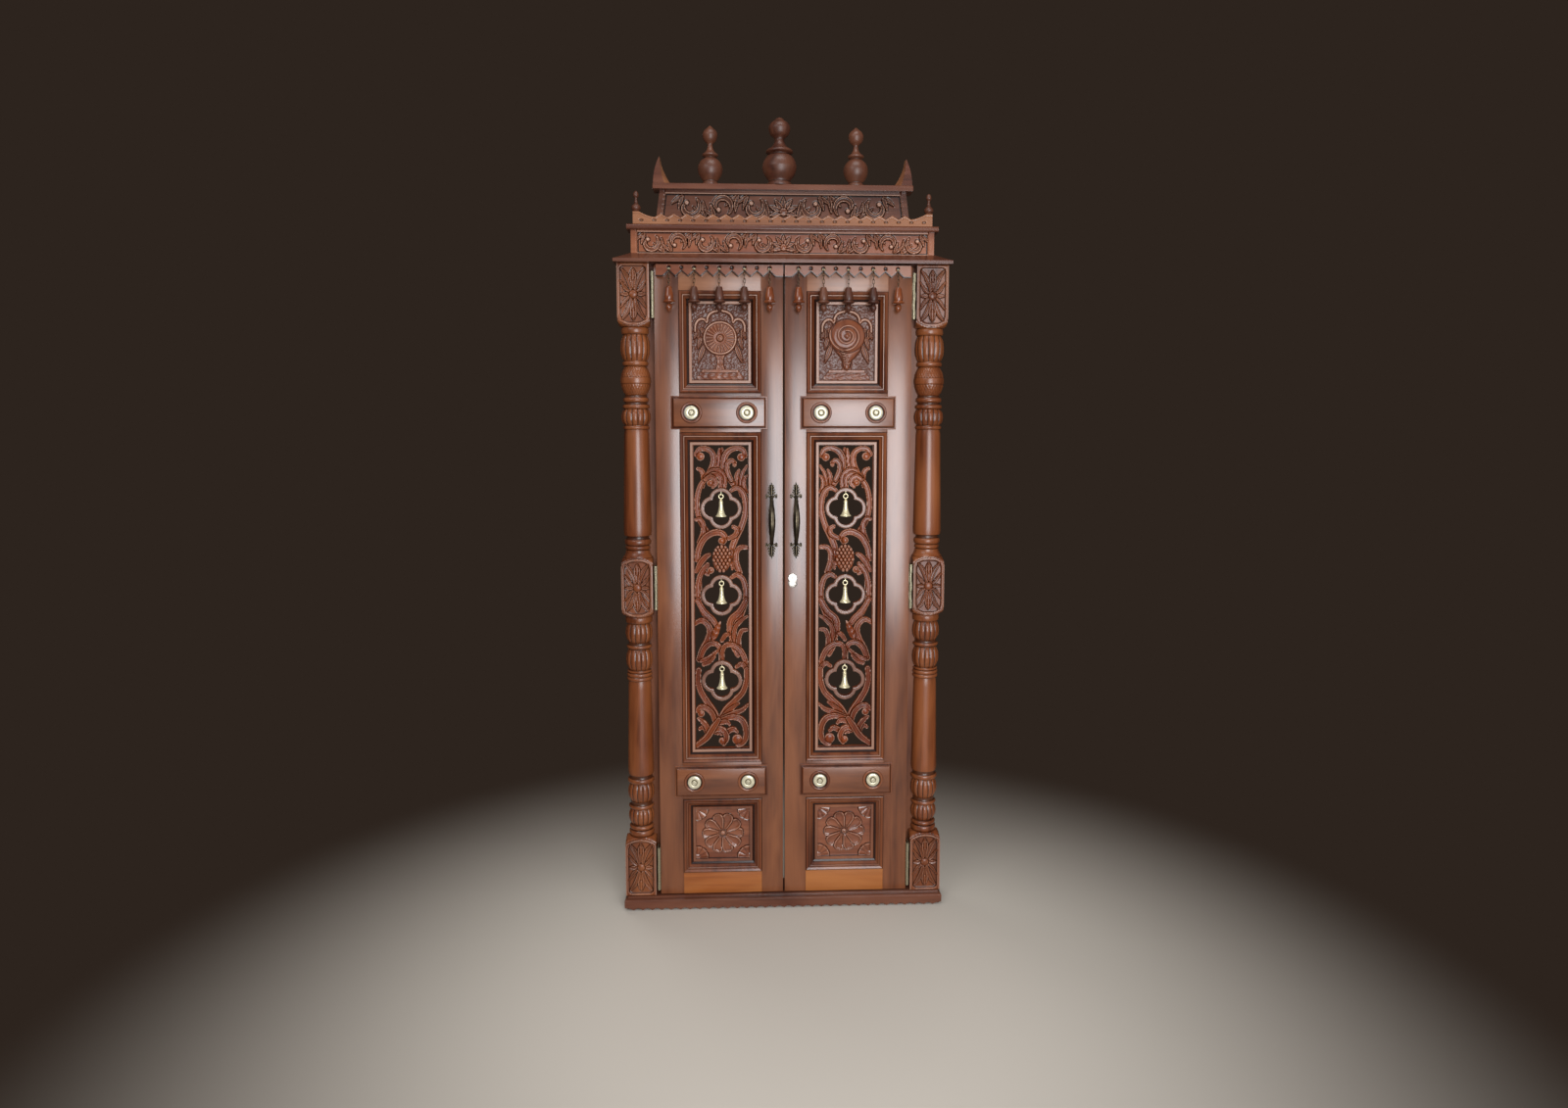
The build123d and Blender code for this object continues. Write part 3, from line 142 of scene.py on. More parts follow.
# %% [markdown]
# ## Grain, painted highlight and painted shade as node groups
#
# Teak is a brown wood with darker streaks along its length, and a varnish lies over it. The streaks
# could be painted by hand, but a stretched noise does the same on every board, and turns with the
# board's direction. The group below is built once, and each wooden finish sets its own colours in it.
# Its Carve input is high on a carving's ridges, where a pale colour paints a highlight, and low in the
# hollows, where a dark colour paints shade.

# %% Build the grain group


def socket(group, name, kind, direction="INPUT", value=None):
    """A named input or output on a node group."""
    made = group.interface.new_socket(name=name, in_out=direction, socket_type=kind)
    if value is not None:
        made.default_value = value
    return made


def fill(tree, target, inputs):
    """Give a node's inputs their values, or link them to another node's output."""
    for key, value in inputs.items():
        if isinstance(value, bpy.types.NodeSocket):
            tree.links.new(value, target.inputs[key])
        else:
            target.inputs[key].default_value = value


def add_node(tree, kind, inputs=None, **settings):
    """A shader node with its settings and its inputs."""
    made = tree.nodes.new("ShaderNode" + kind)
    for key, value in settings.items():
        setattr(made, key, value)
    fill(tree, made, inputs or {})
    return made


STREAKS, STREAK_DETAIL, STREAK_WAVE = (60.0, 60.0, 3.0), 5.0, 0.6
FIBRES, FIBRE_DETAIL, FIBRE_WAVE = (420.0, 420.0, 14.0), 3.0, 0.2
CLOUDS, CLOUD_DETAIL, CLOUD_WAVE = (11.0, 11.0, 2.2), 3.0, 0.3
NOISE_ROUGH = 0.6


def teak_group():
    """Colour, Roughness and Height of varnished teak, from a place, colours and a carve value that
    paints shade in hollows and a highlight on ridges.
    """
    group = bpy.data.node_groups.new("teak_grain", "ShaderNodeTree")
    socket(group, "Place", "NodeSocketVector")
    for name, colour in (("Dark", (0.1, 0.03, 0.015, 1)), ("Middle", (0.25, 0.09, 0.045, 1)),
                         ("Light", (0.4, 0.18, 0.09, 1)), ("Hollow", (0.05, 0.012, 0.006, 1)),
                         ("Ridge", (0.5, 0.3, 0.25, 1))):
        socket(group, name, "NodeSocketColor", value=colour)
    for name, value in (("Polish", 0.0), ("Carve", 0.7), ("Roughness low", 0.3),
                        ("Roughness high", 0.5)):
        socket(group, name, "NodeSocketFloat", value=value)
    socket(group, "Color", "NodeSocketColor", "OUTPUT")
    for name in ("Roughness", "Height"):
        socket(group, name, "NodeSocketFloat", "OUTPUT")
    given = group.nodes.new("NodeGroupInput").outputs
    result = group.nodes.new("NodeGroupOutput")

    def stretched(scale, detail, wave):
        stretch = add_node(group, "VectorMath", {0: given["Place"], 1: scale}, operation="MULTIPLY")
        noise = add_node(group, "TexNoise", {"Vector": stretch.outputs[0], "Scale": 1.0,
                                             "Detail": detail,
                                         "Roughness": NOISE_ROUGH, "Distortion": wave})
        return noise.outputs["Fac"]

    def ranged(value, low, high, to_low=0.0, to_high=1.0):
        made = add_node(group, "MapRange", {"Value": value, "From Min": low, "From Max": high,
                                        "To Min": to_low, "To Max": to_high})
        return made.outputs["Result"]

    def mixed(factor, first, second, kind="RGBA"):
        made = add_node(group, "Mix", {"Factor": factor, "A": first, "B": second}, data_type=kind)
        return made.outputs["Result"]

    streaks = stretched(STREAKS, STREAK_DETAIL, STREAK_WAVE)
    fibres = stretched(FIBRES, FIBRE_DETAIL, FIBRE_WAVE)
    clouds = stretched(CLOUDS, CLOUD_DETAIL, CLOUD_WAVE)
    colour = mixed(ranged(streaks, 0.36, 0.62), given["Dark"], given["Middle"])
    colour = mixed(ranged(clouds, 0.40, 0.66), colour, given["Light"])
    colour = mixed(ranged(fibres, 0.58, 0.34, 0.0, 0.14), colour, given["Dark"])
    # Painted shade: where Carve is low, the colour turns to the dark hollow colour.
    colour = mixed(ranged(given["Carve"], 0.08, 0.6), given["Hollow"], colour)
    # Painted highlight: where Carve is high, the pale highlight colour is mixed in by the highlight
    # share.
    painted_highlight = add_node(group, "Math", {0: ranged(given["Carve"], 0.8, 1.0), 1: given["Polish"]},
                     operation="MULTIPLY")
    colour = mixed(painted_highlight.outputs["Value"], colour, given["Ridge"])
    rough = mixed(ranged(fibres, 0.35, 0.65), given["Roughness low"], given["Roughness high"], "FLOAT")
    fill(group, result, {"Color": colour, "Roughness": rough, "Height": fibres})
    return group


TEAK = teak_group()
print("grain group has", len(TEAK.nodes), "nodes")

# %% [markdown]
# ## Wooden finishes
#
# One varnish covers the whole door, but each board took it differently: the plain stiles show a milky
# sheen, the turnings are a deep red brown, and the bottom rails are almost honey. Each finish below is
# the same group with other colours. Grain runs up a stile and along a rail, so a finish also says which
# way it lies.

# %% Make the wooden finishes
# The pale colour painted on carved ridges as a highlight.
RIDGE_HIGHLIGHT = (180, 144, 125)
GRAIN_DEPTH = 0.00008
UNDER_VARNISH = 0.2
GRAIN_STRENGTH = 0.5
GRAIN_TURNS = {"up": (0, 0, 0), "across": (0, math.pi / 2, 0)}
BOARD_SHIFT = (1.3, 0.7, 3.1)


def linear(red, green, blue):
    """A colour seen on a screen, 0 to 255, as light."""
    shares = [c / 255 for c in (red, green, blue)]
    return tuple(c / 12.92 if c < 0.04 else ((c + 0.055) / 1.055) ** 2.4 for c in shares) + (1,)


def new_material(name):
    """A material, its nodes' tree and its Principled shader."""
    material = bpy.data.materials.new(name)
    material.use_nodes = True
    return material, material.node_tree, material.node_tree.nodes["Principled BSDF"]


def wood(name, dark, middle, light, hollow, grain="up", rough=(0.3, 0.4), coat=0.5, coat_rough=0.15,
         carved=False, highlight_share=0.0):
    """A varnished teak material; carved ones read from the mesh the carve value that paints shade in
    the hollows and a highlight on the ridges.
    """
    material, tree, shader = new_material(name)
    place = add_node(tree, "TexCoord").outputs["Object"]
    shuffle = add_node(tree, "ObjectInfo").outputs["Random"]
    spread = add_node(tree, "VectorMath", {0: BOARD_SHIFT, "Scale": shuffle}, operation="SCALE")
    turn = add_node(tree, "Mapping", {"Vector": place, "Rotation": GRAIN_TURNS[grain]})
    moved = add_node(tree, "VectorMath", {0: turn.outputs[0], 1: spread.outputs[0]})
    given = {"Place": moved.outputs[0], "Dark": linear(*dark), "Middle": linear(*middle),
             "Light": linear(*light), "Hollow": linear(*hollow), "Ridge": linear(*RIDGE_HIGHLIGHT),
             "Polish": highlight_share, "Roughness low": rough[0], "Roughness high": rough[1]}
    if carved:
        given["Carve"] = add_node(tree, "Attribute", attribute_name="carve").outputs["Fac"]
    group = add_node(tree, "Group", given, node_tree=TEAK).outputs
    bump = add_node(tree, "Bump", {"Distance": GRAIN_DEPTH, "Strength": GRAIN_STRENGTH,
                                   "Height": group["Height"]})
    fill(tree, shader, {"Base Color": group["Color"], "Roughness": group["Roughness"],
                        "Normal": bump.outputs["Normal"], "Specular IOR Level": UNDER_VARNISH,
                        "Coat Weight": coat, "Coat Roughness": coat_rough})
    return material


# The fourth colour of each finish is the dark colour painted in its hollows as shade.
HOLLOW_SHADE = (34, 15, 9)
STILE = ((74, 37, 20), (101, 54, 30), (121, 71, 43), HOLLOW_SHADE)
PALE = ((106, 63, 40), (131, 84, 56), (147, 99, 70), HOLLOW_SHADE)
BAND = ((100, 67, 55), (119, 84, 70), (133, 99, 84), HOLLOW_SHADE)
TURNED = ((74, 33, 14), (110, 55, 27), (132, 75, 41), HOLLOW_SHADE)
CARVED = ((90, 43, 24), (118, 61, 36), (138, 82, 54), (30, 12, 7))
SCREEN = ((82, 31, 10), (116, 48, 17), (136, 68, 31), (18, 6, 2))
PANEL = ((82, 38, 21), (110, 56, 32), (130, 75, 48), (76, 46, 37))
MOULDED = ((66, 28, 12), (98, 47, 23), (118, 66, 38), (34, 13, 7))
BOARD = ((62, 31, 21), (88, 47, 33), (108, 66, 48), HOLLOW_SHADE)
HONEY = ((114, 58, 24), (144, 80, 36), (156, 96, 50), HOLLOW_SHADE)
DARK = ((52, 24, 15), (78, 40, 26), (98, 58, 40), (18, 8, 5))
DROP_RED = ((66, 28, 14), (104, 48, 24), (128, 68, 36), (20, 8, 4))
# The highlight share sets how strongly each carved finish paints a highlight on its ridges.
stile_up = wood("stile_teak", *STILE, coat=1.0, coat_rough=0.24)
jamb_teak = wood("jamb_teak", *STILE, rough=(0.45, 0.55), coat=0.15, coat_rough=0.35)
stile_across = wood("rail_teak", *STILE, grain="across", coat=1.0, coat_rough=0.24)
pale_across = wood("pale_teak", *PALE, grain="across", coat=0.5, coat_rough=0.24)
band_teak = wood("band_teak", *BAND)
honey_across = wood("honey_teak", *HONEY, grain="across")
turned_teak = wood("turned_teak", *TURNED, coat=0.6, coat_rough=0.3, carved=True)
rosette_teak = wood("rosette_teak", *TURNED, coat=0.4, coat_rough=0.3, carved=True, highlight_share=0.3)
finial_teak = wood("finial_teak", *DARK, rough=(0.4, 0.5), coat=0.5, coat_rough=0.4, carved=True)
carved_teak = wood("panel_teak", *PANEL, coat=0.25, carved=True, highlight_share=0.7)
carved_across = wood("carved_across_teak", *CARVED, grain="across", coat=0.3, carved=True, highlight_share=0.8)
crest_across = wood("crest_teak", *PALE, grain="across", coat=0.3, carved=True)
dark_across = wood("dark_carved_teak", *DARK, grain="across", coat=0.25, carved=True, highlight_share=0.6)
screen_teak = wood("screen_teak", *SCREEN, coat=0.3, carved=True, highlight_share=0.5)
flower_teak = wood("flower_teak", *CARVED, grain="across", coat=1.0, coat_rough=0.18, carved=True,
                   highlight_share=0.5)
moulded_teak = wood("moulded_teak", *MOULDED, coat=0.2, carved=True, highlight_share=0.6)
low_moulded_teak = wood("low_moulded_teak", *MOULDED, coat=0.4, carved=True, highlight_share=0.12)
drop_teak = wood("drop_teak", *DROP_RED, coat=0.8, carved=True)
board_across = wood("board_teak", *BOARD, grain="across", coat=0.4)
print("wooden finishes:", sum(1 for m in bpy.data.materials if "teak" in m.name))

# %% [markdown]
# ## Brass and steel
#
# The bells and discs are pale polished brass, the hinges a duller brass, and the handles dark antique
# brass. The lock's rosette is grey steel. Cast brass is never even, so a soft noise varies its polish,
# and the Carve height keeps the hollows of castings dark.

# %% Make the metals
SMUDGE_SCALE, SMUDGE_DETAIL, SMUDGE_RANGE = 120.0, 4.0, (0.35, 0.7)
SMUDGE_SHARE = 0.3
METAL_ROUGH = (0.24, 0.5)


def tarnish_group():
    """The colour and roughness of smudged metal, dull in the hollows of a casting."""
    group = bpy.data.node_groups.new("metal_tarnish", "ShaderNodeTree")
    socket(group, "Place", "NodeSocketVector")
    socket(group, "Bright", "NodeSocketColor", value=(0.8, 0.7, 0.5, 1))
    socket(group, "Dull", "NodeSocketColor", value=(0.4, 0.3, 0.2, 1))
    socket(group, "Carve", "NodeSocketFloat", value=1.0)
    socket(group, "Color", "NodeSocketColor", "OUTPUT")
    socket(group, "Roughness", "NodeSocketFloat", "OUTPUT")
    given = group.nodes.new("NodeGroupInput").outputs
    result = group.nodes.new("NodeGroupOutput")
    noise = add_node(group, "TexNoise", {"Vector": given["Place"], "Scale": SMUDGE_SCALE,
                                         "Detail": SMUDGE_DETAIL})
    mask = add_node(group, "MapRange", {"Value": noise.outputs["Fac"], "From Min": SMUDGE_RANGE[0],
                                    "From Max": SMUDGE_RANGE[1]})
    hollow = add_node(group, "Math", {0: 1.0, 1: given["Carve"]}, operation="SUBTRACT")
    both = add_node(group, "Math", {0: mask.outputs["Result"], 1: SMUDGE_SHARE,
                                    2: hollow.outputs["Value"]},
                operation="MULTIPLY_ADD", use_clamp=True).outputs["Value"]
    mix = add_node(group, "Mix", {"Factor": both, "A": given["Bright"], "B": given["Dull"]},
                   data_type="RGBA")
    rough = add_node(group, "MapRange", {"Value": both, "To Min": METAL_ROUGH[0],
                                         "To Max": METAL_ROUGH[1]})
    fill(group, result, {"Color": mix.outputs["Result"], "Roughness": rough.outputs["Result"]})
    return group


TARNISH = tarnish_group()


def metal(name, bright, dull, carved=False, metallic=1.0):
    """A metal with smudges; carved castings keep dark hollows."""
    material, tree, shader = new_material(name)
    given = {"Place": add_node(tree, "TexCoord").outputs["Object"], "Bright": linear(*bright),
             "Dull": linear(*dull)}
    if carved:
        given["Carve"] = add_node(tree, "Attribute", attribute_name="carve").outputs["Fac"]
    group = add_node(tree, "Group", given, node_tree=TARNISH).outputs
    fill(tree, shader, {"Base Color": group["Color"], "Roughness": group["Roughness"],
                        "Metallic": metallic})
    return material


pale_brass = metal("bell_brass", (232, 220, 182), (206, 190, 146), metallic=0.5)
disc_brass = metal("disc_brass", (208, 199, 172), (84, 74, 46), carved=True, metallic=0.3)
hinge_metal = metal("hinge_strip_brass", (150, 142, 118), (122, 112, 86), metallic=0.6)
dark_brass = metal("antique_brass", (96, 86, 70), (13, 10, 8), carved=True)
lock_steel = metal("lock_steel", (172, 164, 156), (92, 84, 78), metallic=0.7)
print("metals:", [m.name for m in (pale_brass, disc_brass, hinge_metal, dark_brass, lock_steel)])

# %% [markdown]
# ## How a piece joins the door
#
# Every new piece rides on the frame or on a leaf, stands in for the plain solid that it details, and
# says which finish it takes. One helper does all of it, so that no piece is forgotten.

# %% Add pieces to the door


def add_piece(mesh, body, material, replaces=()):
    """A mesh becomes a piece on a body, in place of some plain solids."""
    piece = bpy.data.objects.new(mesh.name, mesh)
    bpy.context.scene.collection.objects.link(piece)
    piece.data.materials.append(material)
    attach(piece, body)
    if replaces:
        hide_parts(*replaces)
    return piece


def set_carve(mesh, values=None):
    """Write the carve value at each point: on carved wood it paints shade where low and a highlight
    where high, on cast metal it dulls the hollows; plain work is high all over.
    """
    height = mesh.attributes.new("carve", "FLOAT", "POINT")
    plain = np.ones(len(mesh.vertices))
    height.data.foreach_set("value", plain if values is None else np.asarray(values, float))


def make_mesh(name, verts, faces, carve=None, sharp_angle=None):
    """A mesh from points in millimetres, smooth but for edges over an angle."""
    mesh = bpy.data.meshes.new(name)
    mesh.from_pydata((np.asarray(verts, float) * MM).tolist(), [], faces)
    mesh.polygons.foreach_set("use_smooth", [True] * len(mesh.polygons))
    if sharp_angle is not None:
        mesh.set_sharp_from_angle(angle=math.radians(sharp_angle))
    set_carve(mesh, carve)
    mesh.update()
    return mesh


def side_of(name):
    """-1 for a left piece and 1 for a right one."""
    return -1 if name.startswith("left") else 1


# %% [markdown]
# ## Plain boards
#
# Stiles, rails and jambs are planed boards. Their edges are never sharp: a plane and the varnish round
# them by a millimetre or so, and that thin edge catches the light. A bevel on a box gives it.

# %% Make a board
BOARD_SHARP, ARRIS_ROUND = 50, 0.6


def board(name, low, high, edge=1.4):
    """A planed board between two corners in millimetres, with rounded edges."""
    mesh = bpy.data.meshes.new(name)
    shape = bmesh.new()
    bmesh.ops.create_cube(shape, size=1.0)
    size = [(b - a) * MM for a, b in zip(low, high)]
    middle = [(a + b) / 2 * MM for a, b in zip(low, high)]
    for vert in shape.verts:
        vert.co = Vector(m + c * s for m, c, s in zip(middle, vert.co, size))
    bmesh.ops.bevel(shape, geom=shape.edges[:], offset=edge * MM, segments=2, profile=ARRIS_ROUND,
                    affect="EDGES")
    for face in shape.faces:
        face.smooth = True
    shape.to_mesh(mesh)
    shape.free()
    mesh.set_sharp_from_angle(angle=math.radians(BOARD_SHARP))
    set_carve(mesh)
    return mesh


BOTTOM_RAIL = 60.5
TOP_RAIL = 65.5
BOTTOM_OPENING = (LEAF_FOOT + BOTTOM_RAIL, BOTTOM_SIGHT[1] + MOULDING_WIDTH)
JALI_OPENING = (JALI_SIGHT[0] - MOULDING_WIDTH, JALI_SIGHT[1] + MOULDING_WIDTH)
TOP_OPENING = (TOP_SIGHT[0] - MOULDING_WIDTH, LEAF_HEAD - TOP_RAIL)
RAILS = {
    "bottom_rail": (LEAF_FOOT, BOTTOM_OPENING[0]),
    "lower_block_rail": (BOTTOM_OPENING[1], JALI_OPENING[0]),
    "upper_block_rail": (JALI_OPENING[1], TOP_OPENING[0]),
    "top_rail": (TOP_OPENING[1], LEAF_HEAD),
}


def mirrored_span(side, low, high):
    """The same stretch of x on the right leaf, or on the left one."""
    return (low, high) if side > 0 else (-high, -low)


for leaf in ("right", "left"):
    side = side_of(leaf)
    for stile in ("hinge_stile", "meeting_stile"):
        low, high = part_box(f"{leaf}_{stile}")
        mesh = board(f"{leaf}_{stile}_board", [c / MM for c in low], [c / MM for c in high])
        add_piece(mesh, f"{leaf}_leaf", stile_up, [f"{leaf}_{stile}"])
    x0, x1 = mirrored_span(side, OPENING_INNER, OPENING_OUTER)
    for name, (z0, z1) in RAILS.items():
        mesh = board(f"{leaf}_{name}", (x0, LEAF_FRONT, z0), (x1, LEAF_BACK, z1), 0.8)
        finish = {"bottom_rail": honey_across, "top_rail": pale_across}.get(name, stile_across)
        add_piece(mesh, f"{leaf}_leaf", finish, [f"{leaf}_rails"])
print("boards of the leaves made")

# %% [markdown]
# ## Moulding round each panel
#
# Between the boards and the carving runs a moulding: a bead, a quirk, a sloping hollow and a flat
# fillet, mitred at the corners. The quirk and the deep groove are painted dark as shade, and the bead
# and the fillet pale as a highlight. One profile swept round a rectangle makes it, with a ring of four
# points for each point of the profile.

# %% Sweep the mouldings
MOULDING = (
    (-0.4, -6.0), (0.0, 1.6), (1.2, 2.8), (2.4, 3.2), (5.2, 2.2), (8.2, 0.4), (9.6, -0.8), (10.2, 0.3),
    (11.8, 0.3), (12.6, -0.9), (16.4, -3.4), (20.0, -6.0), (20.8, -8.0), (25.0, -10.4), (26.0, -9.0),
    (27.0, -8.0), (33.0, -8.0), (34.0, -9.0), (34.0, -13.5),
)
# Low values paint shade in the quirk and the deep groove, high ones a highlight on the bead and the
# fillet.
MOULDING_PAINTED_LIGHT = (0, 0, 0.3, 0.62, 0.62, 0.6, 0.1, 0.98, 0.98, 0.4, 0.6, 0.55, 0.05, 0.02, 0.6, 0.96,
                  0.96, 0.8, 0)
MOULDING_BACK = ((34.0, -7, 0.5), (33.0, -2, 0.6), (24.0, 1, 0.6), (4.0, 1, 0.6), (0.0, -1, 0.5))
MOULDING_SHARP = 24


def ring_faces(rings, around, closed=False, capped=False):
    """Faces between rings of points, each joined to the next; closed joins the last to the first."""
    faces = []
    for k in range(rings if closed else rings - 1):
        here, there = k * around, (k + 1) % rings * around
        for j in range(around):
            n = (j + 1) % around
            faces.append((here + j, here + n, there + n, there + j))
    if capped:
        faces += [tuple(reversed(range(around))), tuple(range((rings - 1) * around, rings * around))]
    return faces


def mitred(name, x0, x1, z0, z1, rows):
    """A profile of inset, y and carve value, which paints light and shade, swept round a rectangle."""
    verts = [(x, y, z) for inset, y, _ in rows
             for x, z in ((x0 + inset, z0 + inset), (x1 - inset, z0 + inset),
                          (x1 - inset, z1 - inset), (x0 + inset, z1 - inset))]
    carve = [row[2] for row in rows for _ in range(4)]
    return make_mesh(name, verts, ring_faces(len(rows), 4), carve, MOULDING_SHARP)


moulding_rows = [(inset, LEAF_FRONT - level, carve)
                 for (inset, level), carve in zip(MOULDING, MOULDING_PAINTED_LIGHT)]
moulding_rows += [(inset, LEAF_BACK + level, carve) for inset, level, carve in MOULDING_BACK]
for leaf in ("right", "left"):
    x0, x1 = mirrored_span(side_of(leaf), OPENING_INNER, OPENING_OUTER)
    for panel, opening in (("bottom", BOTTOM_OPENING), ("jali", JALI_OPENING), ("top", TOP_OPENING)):
        mesh = mitred(f"{leaf}_{panel}_moulding", x0, x1, *opening, moulding_rows)
        add_piece(mesh, f"{leaf}_leaf",
                  (moulded_teak, low_moulded_teak)[panel == "bottom"], [f"{leaf}_panel_mouldings"])
print("mouldings made")

# %% [markdown]
# ## A block of wood to carve
#
# A carver draws the scrolls on a board, saws out the openings and then lowers the ground between the
# stalks with gouges, so every form is a height over the drawing. The class below works the same way: a
# fine grid holds the height of the wood, each cut or stalk is laid over it, and a second grid tells
# where wood is left. Curved drawings and sawn openings are easy like this, and hard with solids.

# %% The carver's block
FINE_CELL = 1.35
FAR, OUTSIDE = 30.0, 9.0
CARVED_SHARP = 58

def smooth_path(points, step):
    """Points x, z, half width along a smooth curve through the given ones."""
    given = np.asarray(points, float)
    run = np.concatenate([[0], np.cumsum(np.hypot(*(given[1:, :2] - given[:-1, :2]).T))])
    count = max(int(run[-1] / step), 4)
    at = np.linspace(0, run[-1], count)
    ends = np.vstack([2 * given[0] - given[1], given, 2 * given[-1] - given[-2]])
    k = np.clip(np.searchsorted(run, at, side="right") - 1, 0, len(given) - 2)
    t = ((at - run[k]) / (run[k + 1] - run[k]))[:, None]
    a, b, c, d = ends[k], ends[k + 1], ends[k + 2], ends[k + 3]
    square, cube = 2 * a - 5 * b + 4 * c - d, 3 * b - a - 3 * c + d
    return 0.5 * (2 * b + (c - a) * t + square * t ** 2 + cube * t ** 3)


CROSS_CHANNEL = ((0, 0.3, 0.55, 0.72, 0.84, 0.93, 1.0), (0.62, 0.42, 0.5, 0.92, 1.0, 0.7, 0.0))
CROSS_ROUND = ((0, 0.3, 0.55, 0.75, 0.9, 1.0), (1.0, 0.95, 0.82, 0.6, 0.34, 0.0))
CROSS_REEDED = ((0, 0.16, 0.33, 0.5, 0.66, 0.8, 0.92, 1.0), (1.0, 0.62, 0.5, 0.94, 0.5, 0.9, 0.7, 0.0))
CROSS_DISHED = ((0, 0.4, 0.66, 0.82, 0.93, 1.0), (0.3, 0.4, 0.86, 1.0, 0.7, 0.0))
BALL = ((0, 0.35, 0.6, 0.8, 0.93, 1.0), (1.0, 0.94, 0.8, 0.58, 0.32, 0.0))


class Relief:
    """Carved wood on a grid of x and z, all in millimetres: its height, and where there is wood."""

    def __init__(self, low, high, cell, ground, solid=True):
        self.cell = cell
        self.x = np.linspace(low[0], high[0], int(round((high[0] - low[0]) / cell)) + 1)
        self.z = np.linspace(low[1], high[1], int(round((high[1] - low[1]) / cell)) + 1)
        self.X, self.Z = np.meshgrid(self.x, self.z, indexing="ij")
        self.height = np.full(self.X.shape, float(ground))
        self.wood = np.full(self.X.shape, FAR if solid else -FAR)

    def window(self, x0, x1, z0, z1):
        """The part of the grid between these values."""
        i0, i1 = np.searchsorted(self.x, (x0, x1))
        j0, j1 = np.searchsorted(self.z, (z0, z1))
        return slice(max(i0 - 1, 0), i1 + 1), slice(max(j0 - 1, 0), j1 + 1)

    def lay(self, part, u, edge, value, depth, groove, opened):
        """Lay a form over the part where u is under 1, with a groove cut round it."""
        inside = u < 1
        height = self.height[part]
        ring = (~inside) & (edge < groove)
        height[ring] -= (1 - edge[ring] / groove) * depth
        height[inside] = value[inside]
        if opened:
            self.wood[part] = np.maximum(self.wood[part], -edge)

    def stalk(self, points, top, rise=3.0, cross=CROSS_CHANNEL, depth=2.0, groove=2.2, opened=False):
        """A stalk of changing width along a smooth curve; top is its height at its start and end."""
        path = smooth_path(points, self.cell)
        reach = path[:, 2].max() + groove + self.cell
        part = self.window(path[:, 0].min() - reach, path[:, 0].max() + reach,
                           path[:, 1].min() - reach, path[:, 1].max() + reach)
        x, z = self.X[part], self.Z[part]
        u = np.full(x.shape, OUTSIDE)
        edge = np.full(x.shape, FAR)
        along = np.zeros(x.shape)
        xs, zs = x[:, 0], z[0]
        for k, (px, pz, half) in enumerate(path):
            half = max(half, 0.6)
            r = half + groove + self.cell
            i0, i1 = np.searchsorted(xs, (px - r, px + r))
            j0, j1 = np.searchsorted(zs, (pz - r, pz + r))
            d = np.hypot(xs[i0:i1, None] - px, zs[None, j0:j1] - pz)
            near = d / half < u[i0:i1, j0:j1]
            u[i0:i1, j0:j1][near] = (d / half)[near]
            along[i0:i1, j0:j1][near] = k / (len(path) - 1)
            edge[i0:i1, j0:j1] = np.minimum(edge[i0:i1, j0:j1], d - half)
        tops = np.atleast_1d(top)
        level = tops[0] + (tops[-1] - tops[0]) * along
        value = level - rise * (1 - np.interp(u, *cross))
        self.lay(part, u, edge, value, depth, groove, opened)

    def knob(self, x, z, radius, top, rise, cross=BALL, depth=2.0, groove=2.2, opened=False,
             stretch=1.0, turn=0.0, lobes=0, lobe_depth=0.0):
        """A ball, ring or boss; stretch and turn make it an egg, lobes cut it into gadroons."""
        reach = radius * max(stretch, 1) + groove + self.cell
        part = self.window(x - reach, x + reach, z - reach, z + reach)
        a = math.radians(turn)
        dx, dz = self.X[part] - x, self.Z[part] - z
        along, across = dx * math.cos(a) + dz * math.sin(a), -dx * math.sin(a) + dz * math.cos(a)
        d = np.hypot(along / stretch, across)
        u = d / radius
        value = top - rise * (1 - np.interp(u, *cross))
        if lobes:
            wave = 0.5 - 0.5 * np.cos(lobes * np.arctan2(dz, dx))
            value -= lobe_depth * wave * np.clip(u * 2, 0, 1)
        self.lay(part, u, d - radius, value, depth, groove, opened)

    def leaf(self, x, z, turn, length, width, top, rise=3.0, veins=5, depth=2.0, groove=2.0,
             opened=False, blunt=0.75, curl=0.0, cross=CROSS_ROUND):
        """A leaf or petal from its root at x, z; veins run out from its rib."""
        reach = length + width + groove
        part = self.window(x - reach, x + reach, z - reach, z + reach)
        a = math.radians(turn)
        dx, dz = self.X[part] - x, self.Z[part] - z
        along = (dx * math.cos(a) + dz * math.sin(a)) / length
        across = -dx * math.sin(a) + dz * math.cos(a) - curl * length * along ** 2
        t = np.clip(along, 0, 1)
        half = width / 2 * np.sin(np.pi * t ** blunt) ** 0.8
        half = np.maximum(half, 0.01)
        u = np.where((along < 0) | (along > 1), OUTSIDE, np.abs(across) / half)
        edge = np.where(u < OUTSIDE, np.abs(across) - half, FAR)
        value = top - rise * (1 - np.interp(u, *cross))
        if veins:
            wave = np.cos(2 * np.pi * veins * (t - 0.5 * np.abs(across) / length))
            value -= 0.22 * rise * (1 + wave) * (u > 0.12)
        self.lay(part, u, edge, value, depth, groove, opened)

    def carve_values(self, reach=3.2, strength=2.6):
        """High on ridges and low in grooves, where the finish paints a highlight and shade."""
        n = max(int(reach / self.cell), 1)
        padded = np.pad(self.height, n, mode="edge")
        total = np.cumsum(np.cumsum(np.pad(padded, ((1, 0), (1, 0))), 0), 1)
        w = 2 * n + 1
        mean = (total[w:, w:] - total[:-w, w:] - total[w:, :-w] + total[:-w, :-w]) / (w * w)
        return np.clip(0.58 + (self.height - mean) / strength, 0, 1)

